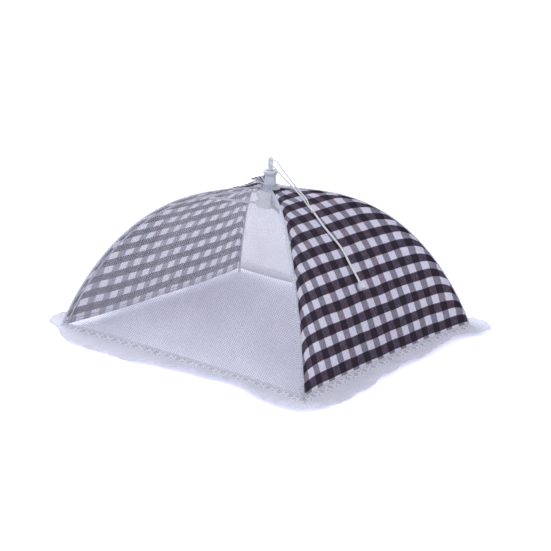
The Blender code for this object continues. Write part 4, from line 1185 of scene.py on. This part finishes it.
def make_lace_half(side, corner):
    """Half a side of lace: its band hangs on the panel, and its ruffle spreads on the table."""
    outward, along, half_out, half_along = SIDES[side]
    sign = side_sign(side, corner)
    top_angle = angle_at_height(LACE_TOP_HEIGHT)
    hem_angle = angle_at_height(CANOPY_HEM_HEIGHT)
    corner_turn = math.atan2(half_along, half_out) + LOBE_TURNS.get((side, corner), 0)
    band_height = (panel_point(side, top_angle, 0) - panel_point(side, hem_angle, 0)).length

    def place(share_across, share_down):
        band = min(share_down / LACE_BAND_SHARE, 1)
        angle = top_angle + (hem_angle - top_angle) * band
        across = across_at(side, angle, share_across, sign)
        lift = LACE_LIFT + wrinkle(side, corner, angle, across)
        point = panel_point(side, angle, across) + panel_normal(side, angle, across) * lift
        flare = max(share_down - LACE_BAND_SHARE, 0) / (1 - LACE_BAND_SHARE)
        place_along = math.sin(share_across * math.pi / 2)
        fan = ease((place_along - FAN_START_SHARE) / (1 - FAN_START_SHARE)) * corner_turn
        spread = share_across_side(REACH_SHARES, side, sign * place_along)
        spot = zip((half_along * across, sign, half_out), SWAY_NOISE_SCALES)
        loose = noise.noise(Vector([size * scale for size, scale in spot]))
        sway = RUFFLE_SWAY * loose * (1 - place_along ** SWAY_POWER)
        reach = (RUFFLE_REACH * spread + sway) * flare
        point += (outward * math.cos(fan) + along * (sign * math.sin(fan))) * reach
        length_along = half_along * across + sign * fan * reach
        drift = RIPPLE_DRIFT * noise.noise(point * RIPPLE_NOISE_SCALE)
        ripple = math.sin(math.tau * length_along / RIPPLE_LENGTH + drift)
        high = RUFFLE_WAVE_HEIGHT * ruffle_wave(side, across) + RIPPLE_HEIGHT * (1 + ripple) / 2
        high += RUFFLE_FOLD_HEIGHT * max(REACH_FLAT_SHARE - spread, 0)
        high += RUFFLE_EDGE_RISE * share_across_side(RISE_SHARES, side, sign * place_along)
        if flare:
            above = (point.z - RUFFLE_CLEARANCE) * (1 - flare) ** RUFFLE_FALL_POWER
            point.z = RUFFLE_CLEARANCE + above + high * flare ** RUFFLE_RISE_POWER
        return point, (length_along, band * band_height + (LACE_DEPTH - band_height) * flare)

    name = half_name("lace_trim", side, corner)
    mesh = grid_mesh(name, place, LACE_COLUMNS, LACE_ROWS, outward + UP)
    piece = link(name, mesh)
    thicken(piece, LACE_THICKNESS)
    dress(piece, "back_lace" if side == "back" else "lace",
          replaced=[half_name("lace", side, corner)])
    across_rib(piece, corner, side)
    return piece


def capsule_into(shape, middle, along, over, length, radius):
    """Add a stitch: a short thread with round ends, pressed into the cloth."""
    along, over = along.normalized(), over.normalized()
    matrix = frame_matrix(middle, over, along)
    made = bmesh.ops.create_icosphere(shape, subdivisions=1, radius=radius)
    for vert in made["verts"]:
        vert.co.z *= length / 2 / radius
        vert.co = matrix @ vert.co


def make_seam(corner):
    """The seam at a rib: the net is gathered along it, and the gingham's edge just turns over it."""
    sign_x, sign_y = CORNERS[corner]
    sides = ((SIDE_OF_X[sign_x], sign_y), (SIDE_OF_Y[sign_y], sign_x))
    first = angle_at_share(SEAM_TOP_RADIUS / HALF_DIAGONAL)
    last = angle_at_height(LACE_TOP_HEIGHT)
    spots = [ridge(paced(first, last, i / SEAM_ROWS)) for i in range(SEAM_ROWS + 1)]
    lengths = [0.0]
    for (r0, z0), (r1, z1) in zip(spots, spots[1:]):
        lengths.append(lengths[-1] + math.hypot(r1 - r0, z1 - z0))
    seed = SEAM_SEEDS[0] * sign_x + SEAM_SEEDS[1] * sign_y

    def surface(angle, side_number, inset, lift):
        side, sign = sides[side_number]
        share = dome(angle)[0]
        across = sign * (1 - inset * HALF_DIAGONAL / (HALF_LENGTH * HALF_WIDTH * share))
        if inset:
            return panel_point(side, angle, across) + panel_normal(side, angle, across) * lift
        normals = [panel_normal(item, angle, across_sign) for item, across_sign in sides]
        together = (normals[0] + normals[1]).normalized()
        return panel_point(side, angle, sign) + together * (lift / together.dot(normals[0]))

    def place(share_across, share_down):
        angle = paced(first, last, share_down)
        down = lengths[round(share_down * SEAM_ROWS)]
        column = round(share_across * (SEAM_COLUMNS + 2))
        if column <= 2:
            offset, side_number = SEAM_ON_GINGHAM * (1 - column / 2), 0
            lift = SEAM_LIFT * (1 - SEAM_EDGE_DROP * (1 - column / 2))
            return surface(angle, side_number, offset, lift), (-offset, down)
        share = (column - 2) / SEAM_COLUMNS
        wide = SEAM_ON_NET_TOP + (SEAM_ON_NET - SEAM_ON_NET_TOP) * ease(share_down * SEAM_TAPER)
        wide *= SEAM_WIDTH_SHARES.get(corner, 1)
        loose = noise.noise(Vector((down * SEAM_NOISE_SCALES["width"], seed, 0)))
        width = wide * (SEAM_WIDTH_MIDDLE + SEAM_WIDTH_SPREAD * loose)
        bend = SEAM_BEND * noise.noise(Vector((down * SEAM_NOISE_SCALES["bend"], seed, 3)))
        size = uneven(down * SEAM_NOISE_SCALES["size"], seed, 7)
        fold = math.sin(math.tau * down / SEAM_GATHER_LENGTH + bend + SEAM_SLANT * share)
        rise = math.sin(math.pi * min(share * SEAM_RISE_SLOPE, 1)) ** SEAM_RISE_POWER
        lift = SEAM_LIFT * (1 - SEAM_END_DROP * share)
        lift += SEAM_GATHER_HEIGHT * size * rise * (1 + fold) / 2
        return surface(angle, 1, width * share, lift), (share * SEAM_ON_NET, down)

    direction = corner_direction(corner) + UP
    name = "gathered_seam_" + corner
    mesh = grid_mesh(name, place, SEAM_COLUMNS + 2, SEAM_ROWS, direction)
    piece = link(name, mesh)
    thicken(piece, SEAM_THICKNESS)
    dress(piece, "seam", "rib_" + corner, ["seam_binding_" + corner])

    shape = bmesh.new()
    count = int(lengths[-1] / STITCH_PITCH)
    for k in range(count):
        wanted = (k + 0.5) * STITCH_PITCH
        row = next(i for i, length in enumerate(lengths) if length >= wanted)
        within = (wanted - lengths[row - 1]) / (lengths[row] - lengths[row - 1])
        angle = paced(first, last, (row - 1 + within) / SEAM_ROWS)
        lift = SEAM_LIFT + SEAM_THICKNESS + STITCH_RADIUS * STITCH_RISE_SHARE
        middle = surface(angle, 1, STITCH_INSET, lift)
        ahead = surface(angle + DERIVATIVE_STEP, 1, STITCH_INSET, lift)
        capsule_into(shape, middle, ahead - middle, direction, STITCH_LENGTH, STITCH_RADIUS)
    name = "seam_stitches_" + corner
    stitches = link(name, finished(name, shape))
    dress(stitches, "thread", "rib_" + corner)
    return [piece, stitches]


FRILL_PLEATS = 11
FRILL_COLUMNS = 480
FRILL_ROWS = 20
FRILL_TIE_SHARE = 0.30        # of its cloth lies under the tie, down to the panels
FRILL_SKIRT_RADIUS = 0.0140
FRILL_TIE_RISE = 0.0032
FRILL_PEAK_ANGLE = math.radians(204)
FRILL_FRONT_REACH = 0.0045
FRILL_BACK_REACH = 0.0175
FRILL_FRONT_RISE = 0.0024
FRILL_BACK_RISE = 0.0070
FRILL_PLEAT_DEPTH = 0.0015
FRILL_PLEAT_FOLD = 0.42       # how far its pleats fold over, where a half makes them upright
FRILL_TWIST = 0.32
FRILL_BAND_ANGLE = 0.37       # one dark and one light band of the gathered check, round the neck
FRILL_CLOTH_DEPTH = 0.016
FRILL_CURL = 2.0              # how far its pleats bend over, in radians
FRILL_SKIRT_WAVE = 0.0006
FRILL_DRIFT = 1.8             # how unevenly the pleats follow each other, in radians
FRILL_NOISE_SCALE = 1.6
FRILL_SIZE_MIDDLE = 0.85      # of the shares by which the pleats differ
FRILL_SIZE_SPREAD = 0.7
FRILL_DEPTH_POWER = 0.8       # how fast the pleats deepen, and how fast they fold over
FRILL_FOLD_POWER = 0.6
FRILL_RISE_SPREAD = 0.28


def make_frill():
    """The tops of the four panels, tied round the neck and standing up in pleats, most at the back left."""
    foot = RIDGE_HEIGHT + FRILL_FOOT_GAP

    def place(share_around, share_out):
        around = (share_around % 1) * math.tau
        direction = Vector((math.cos(around), math.sin(around), 0)) * FRILL_NOISE_SCALE
        phase = FRILL_PLEATS * around + FRILL_DRIFT * noise.noise(direction)
        size = FRILL_SIZE_MIDDLE + FRILL_SIZE_SPREAD * noise.noise(direction * 2 + UP * 5)
        stand = ease((1 + math.cos(around - FRILL_PEAK_ANGLE)) / 2)
        fold = FRILL_PLEAT_FOLD * math.sin(2 * phase) / FRILL_PLEATS
        if share_out < FRILL_TIE_SHARE:
            under = 1 - share_out / FRILL_TIE_SHARE
            radius = FRILL_INNER_RADIUS + (FRILL_SKIRT_RADIUS - FRILL_INNER_RADIUS) * under
            height = foot - FRILL_FOOT_GAP * under + FRILL_TIE_RISE * (1 - under) ** 2
            height += FRILL_SKIRT_WAVE * under * size * math.cos(phase)
            turned = around
        else:
            above = (share_out - FRILL_TIE_SHARE) / (1 - FRILL_TIE_SHARE)
            reach = FRILL_FRONT_REACH + (FRILL_BACK_REACH - FRILL_FRONT_REACH) * stand
            rise = FRILL_FRONT_RISE + (FRILL_BACK_RISE - FRILL_FRONT_RISE) * stand
            rise *= 1 + FRILL_RISE_SPREAD * noise.noise(direction * 3 + UP * 9) * above
            radius = FRILL_INNER_RADIUS + reach * above
            radius += FRILL_PLEAT_DEPTH * size * math.cos(phase) * above ** FRILL_DEPTH_POWER
            height = foot + FRILL_TIE_RISE + rise * math.sin(above * FRILL_CURL) / math.sin(FRILL_CURL)
            turned = around + fold * above ** FRILL_FOLD_POWER - FRILL_TWIST * above * stand
        point = Vector((radius * math.cos(turned), radius * math.sin(turned), height + FRILL_LIFT))
        return point, (share_out * FRILL_CLOTH_DEPTH / 8, around / FRILL_BAND_ANGLE * CHECK_HEIGHT)

    mesh = grid_mesh("neck_frill", place, FRILL_COLUMNS, FRILL_ROWS, UP, closed=True)
    piece = link("neck_frill", mesh)
    mesh.materials.append(MATERIALS["gingham"])
    mesh.materials.append(MATERIALS["gathered_net"])
    for face in mesh.polygons:
        centre = face.center
        face.material_index = 0 if -centre.x * HALF_WIDTH > abs(centre.y) * HALF_LENGTH else 1
    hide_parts("top_frill")
    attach(piece, "crown")


# Plastic and wire

PLASTIC_ROUND = 0.0009
NECK_WAIST_DEPTH = 0.0002
FLANGE_EDGE_WIDTH = 0.0008
FLANGE_EDGE_HEIGHT = 0.0011
DOME_STEPS = 14
DRILL_STEPS = 48
RING_STEPS = 120
EYE_STEPS = 22
EYE_OPENING = 0.35            # half of it, in radians
EYE_BITE_SHARE = 0.1          # of the rib's radius, which the eye is rolled tighter
EYE_WIRE_SHARE = 0.62         # of the rib's own radius, where it is rolled into the eye
EYE_GROWTH_SHARE = 0.02       # of the rib's length, to where it has its own radius


def make_collar():
    """The neck and its flange, with a bore for the post."""
    base = CROWN_HUB_TOP + TOUCH_GAP
    neck = base + COLLAR_BASE_HEIGHT
    cone = neck + NECK_HEIGHT
    rim = cone + FLANGE_CONE_HEIGHT
    bore = POST_BORE_RADIUS
    waist = (NECK_FOOT_RADIUS + NECK_TOP_RADIUS) / 2 - NECK_WAIST_DEPTH
    points = [(bore, COLLAR_TOP), (FLANGE_RADIUS - FLANGE_EDGE_WIDTH, COLLAR_TOP),
              (FLANGE_RADIUS, COLLAR_TOP - FLANGE_EDGE_HEIGHT), (FLANGE_RADIUS, rim),
              (NECK_TOP_RADIUS, cone), (waist, (neck + cone) / 2), (NECK_FOOT_RADIUS, neck),
              (COLLAR_BASE_RADIUS, neck), (COLLAR_BASE_RADIUS, base), (bore, base)]
    mesh = turned_mesh("collar_shell", rounded(points, PLASTIC_ROUND, 5), 128)
    return dress(link("collar_shell", mesh), "crown", "crown", ["crown_collar"])


def make_post():
    """The latch post, smooth, with its cross hole."""
    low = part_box("runner_post")[0].z
    head_top = low + POST_HEAD_HEIGHT
    ridge_low = COLLAR_TOP + TOUCH_GAP
    ridge_high = ridge_low + LATCH_RIDGE_HEIGHT
    dome_foot = POST_TOP_HEIGHT - POST_DOME_HEIGHT
    angles = [math.pi / 2 * (1 - i / DOME_STEPS) for i in range(DOME_STEPS + 1)]
    top = [(max(POST_RADIUS * math.cos(a), 0), dome_foot + POST_DOME_HEIGHT * math.sin(a)) for a in angles]
    top[0] = (0, POST_TOP_HEIGHT)
    slope = LATCH_RIDGE_RADIUS - POST_RADIUS
    body = [(POST_RADIUS, ridge_high), (LATCH_RIDGE_RADIUS, ridge_high - slope),
            (LATCH_RIDGE_RADIUS, ridge_low + slope), (POST_RADIUS, ridge_low), (POST_RADIUS, head_top),
            (POST_HEAD_RADIUS, head_top), (POST_HEAD_RADIUS, low + slope), (POST_HEAD_RADIUS - slope, low)]
    mesh = turned_mesh("latch_post", top + body + [(0, low)], closed=False)
    post = link("latch_post", mesh)
    shape = bmesh.new()
    radius = CORD_RADIUS * POST_HOLE_SHARE
    bmesh.ops.create_cone(shape, cap_ends=True, segments=DRILL_STEPS, radius1=radius, radius2=radius,
                          depth=4 * POST_RADIUS)
    drill_mesh = bpy.data.meshes.new("drill")
    shape.to_mesh(drill_mesh)
    shape.free()
    drill = link("drill", drill_mesh)
    drill.matrix_world = frame_matrix(Vector((0, 0, POST_TOP_HEIGHT - CORD_HOLE_DROP)), Vector((1, 0, 0)),
                                      Vector((0, 1, 0)))
    cut = post.modifiers.new("cut", "BOOLEAN")
    cut.operation = "DIFFERENCE"
    cut.object = drill
    bpy.context.view_layer.update()
    drilled = bpy.data.meshes.new_from_object(post.evaluated_get(bpy.context.evaluated_depsgraph_get()))
    post.modifiers.clear()
    post.data = drilled
    bpy.data.objects.remove(drill, do_unlink=True)
    return dress(post, "latch", "runner", ["runner_post"])


def make_ring(name, height, body, replaced):
    angles = [math.tau * i / RING_STEPS for i in range(RING_STEPS)]
    points = [Vector((HINGE_RADIUS * math.cos(a), HINGE_RADIUS * math.sin(a), height)) for a in angles]
    shape = tube_mesh(name, points, lambda share, angle: RING_WIRE_RADIUS, 12, closed=True)
    return dress(link(name, shape), "rib_steel", body, [replaced])


def rib_line(count):
    first = solve(lambda a: rib_point(a)[0], HINGE_RADIUS + EYE_RADIUS, DERIVATIVE_STEP,
                  math.pi / 2 - 2 * DERIVATIVE_STEP)
    last = solve(lambda a: -rib_point(a)[1], -RIB_END_HEIGHT, DERIVATIVE_STEP,
                 math.pi / 2 - 2 * DERIVATIVE_STEP)
    return [rib_point(paced(first, last, i / (count - 1))) for i in range(count)]


def make_rib(corner):
    """A round spring wire, closed into an eye round the crown's ring wire."""
    line = [in_rib_plane(corner, r, z) for r, z in rib_line(90)]
    middle = in_rib_plane(corner, HINGE_RADIUS, HINGE_HEIGHT)
    loop = EYE_RADIUS - RIB_RADIUS * EYE_BITE_SHARE
    outward = corner_direction(corner)
    eye = []
    for i in range(EYE_STEPS + 1):
        angle = -EYE_OPENING + (math.tau - 2 * EYE_OPENING) * i / EYE_STEPS
        eye.append(middle + (outward * math.cos(angle) - UP * math.sin(angle)) * loop)
    wire = list(reversed(eye)) + line
    eye_share = (EYE_STEPS + 1) / len(wire)

    def radius_at(share, angle):
        grown = min(max((share - eye_share) / EYE_GROWTH_SHARE, 0), 1)
        return RIB_RADIUS * (EYE_WIRE_SHARE + (1 - EYE_WIRE_SHARE) * grown)

    mesh = tube_mesh("rib_wire_" + corner, wire, radius_at, 16)
    return dress(link("rib_wire_" + corner, mesh), "rib_steel", "rib_" + corner,
                 ["rib_" + corner])


# Floor, light and background

FLOOR_SIDE = 30.0
FLOOR_DROP = 0.0004           # under the feet, so that the two surfaces don't coincide
FLOOR_SHADES = ((0.80, 0.80, 0.83), (0.82, 0.82, 0.85))
FLOOR_AS_SEEN = (1.30, 1.305, 1.48)
SKY_COLOUR = (0.97, 0.98, 1.0)
SKY_STRENGTH = 0.78
WHITE = (1, 1, 1)
# Of each lamp: azimuth and elevation in degrees, distance, width and power.
LAMPS = {
    "key": (0, 58, 2.4, 1.6, 8.0),
    "side": (80, 40, 2.6, 1.8, 14.0),
    "left": (-95, 30, 2.4, 1.6, 36.0),
}


def make_floor():
    """A pale floor, which looks brighter than the light that it gives back."""
    bpy.ops.mesh.primitive_plane_add(size=FLOOR_SIDE, location=(0, 0, -FLOOR_DROP))
    floor = bpy.context.object
    floor.name = "floor"
    nodes = material_nodes("pale_floor")
    shade = nodes.mix(nodes.noise(3.0, 2.0), *FLOOR_SHADES)
    plain, bright = (nodes.output("BsdfDiffuse", Color=colour) for colour in (shade, FLOOR_AS_SEEN))
    floor.data.materials.append(nodes.finish(nodes.blend(nodes.seen(), plain, bright)))


def make_world():
    """Even light from all round, and plain white behind the cover."""
    nodes = Nodes(bpy.data.worlds.new("studio"))
    light = nodes.output("Background", Color=SKY_COLOUR, Strength=SKY_STRENGTH)
    white = nodes.output("Background", Color=WHITE, Strength=1.0)
    bpy.context.scene.world = nodes.finish(nodes.blend(nodes.seen(), light, white), "OutputWorld")


def make_lamp(name, azimuth, elevation, distance, size, power):
    data = bpy.data.lights.new(name, "AREA")
    data.shape = "DISK"
    data.size = size
    data.energy = power
    lamp = link(name, data)
    towards = compass(math.radians(azimuth), math.radians(elevation))
    lamp.location = towards * distance
    lamp.rotation_mode = "QUATERNION"
    lamp.rotation_quaternion = towards.to_track_quat("Z", "Y")


bpy.context.scene.view_settings.view_transform = "Standard"
make_camera()
make_world()
make_floor()
for name, place in LAMPS.items():
    make_lamp(name, *place)

make_cords()
make_collar()
make_post()
make_frill()
runner_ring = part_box("runner_ring_wire")
make_ring("crown_ring", HINGE_HEIGHT, "crown", "crown_ring_wire")
make_ring("runner_ring", (runner_ring[0].z + runner_ring[1].z) / 2, "runner", "runner_ring_wire")

for corner, (sign_x, sign_y) in CORNERS.items():
    make_rib(corner)
    seam = make_seam(corner)
    for side in (SIDE_OF_X[sign_x], SIDE_OF_Y[sign_y]):
        body = half_name("cloth", side, corner)
        cloth = make_cloth_half(side, corner)
        lace = make_lace_half(side, corner)

for name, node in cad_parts.items():
    in_zinc = name.startswith("stretcher")
    if in_zinc or name in ("crown_hub", "runner_hub") or name.startswith("rib_tip"):
        node.data.materials.clear()
        node.data.materials.append(MATERIALS["zinc" if in_zinc else "hub"])
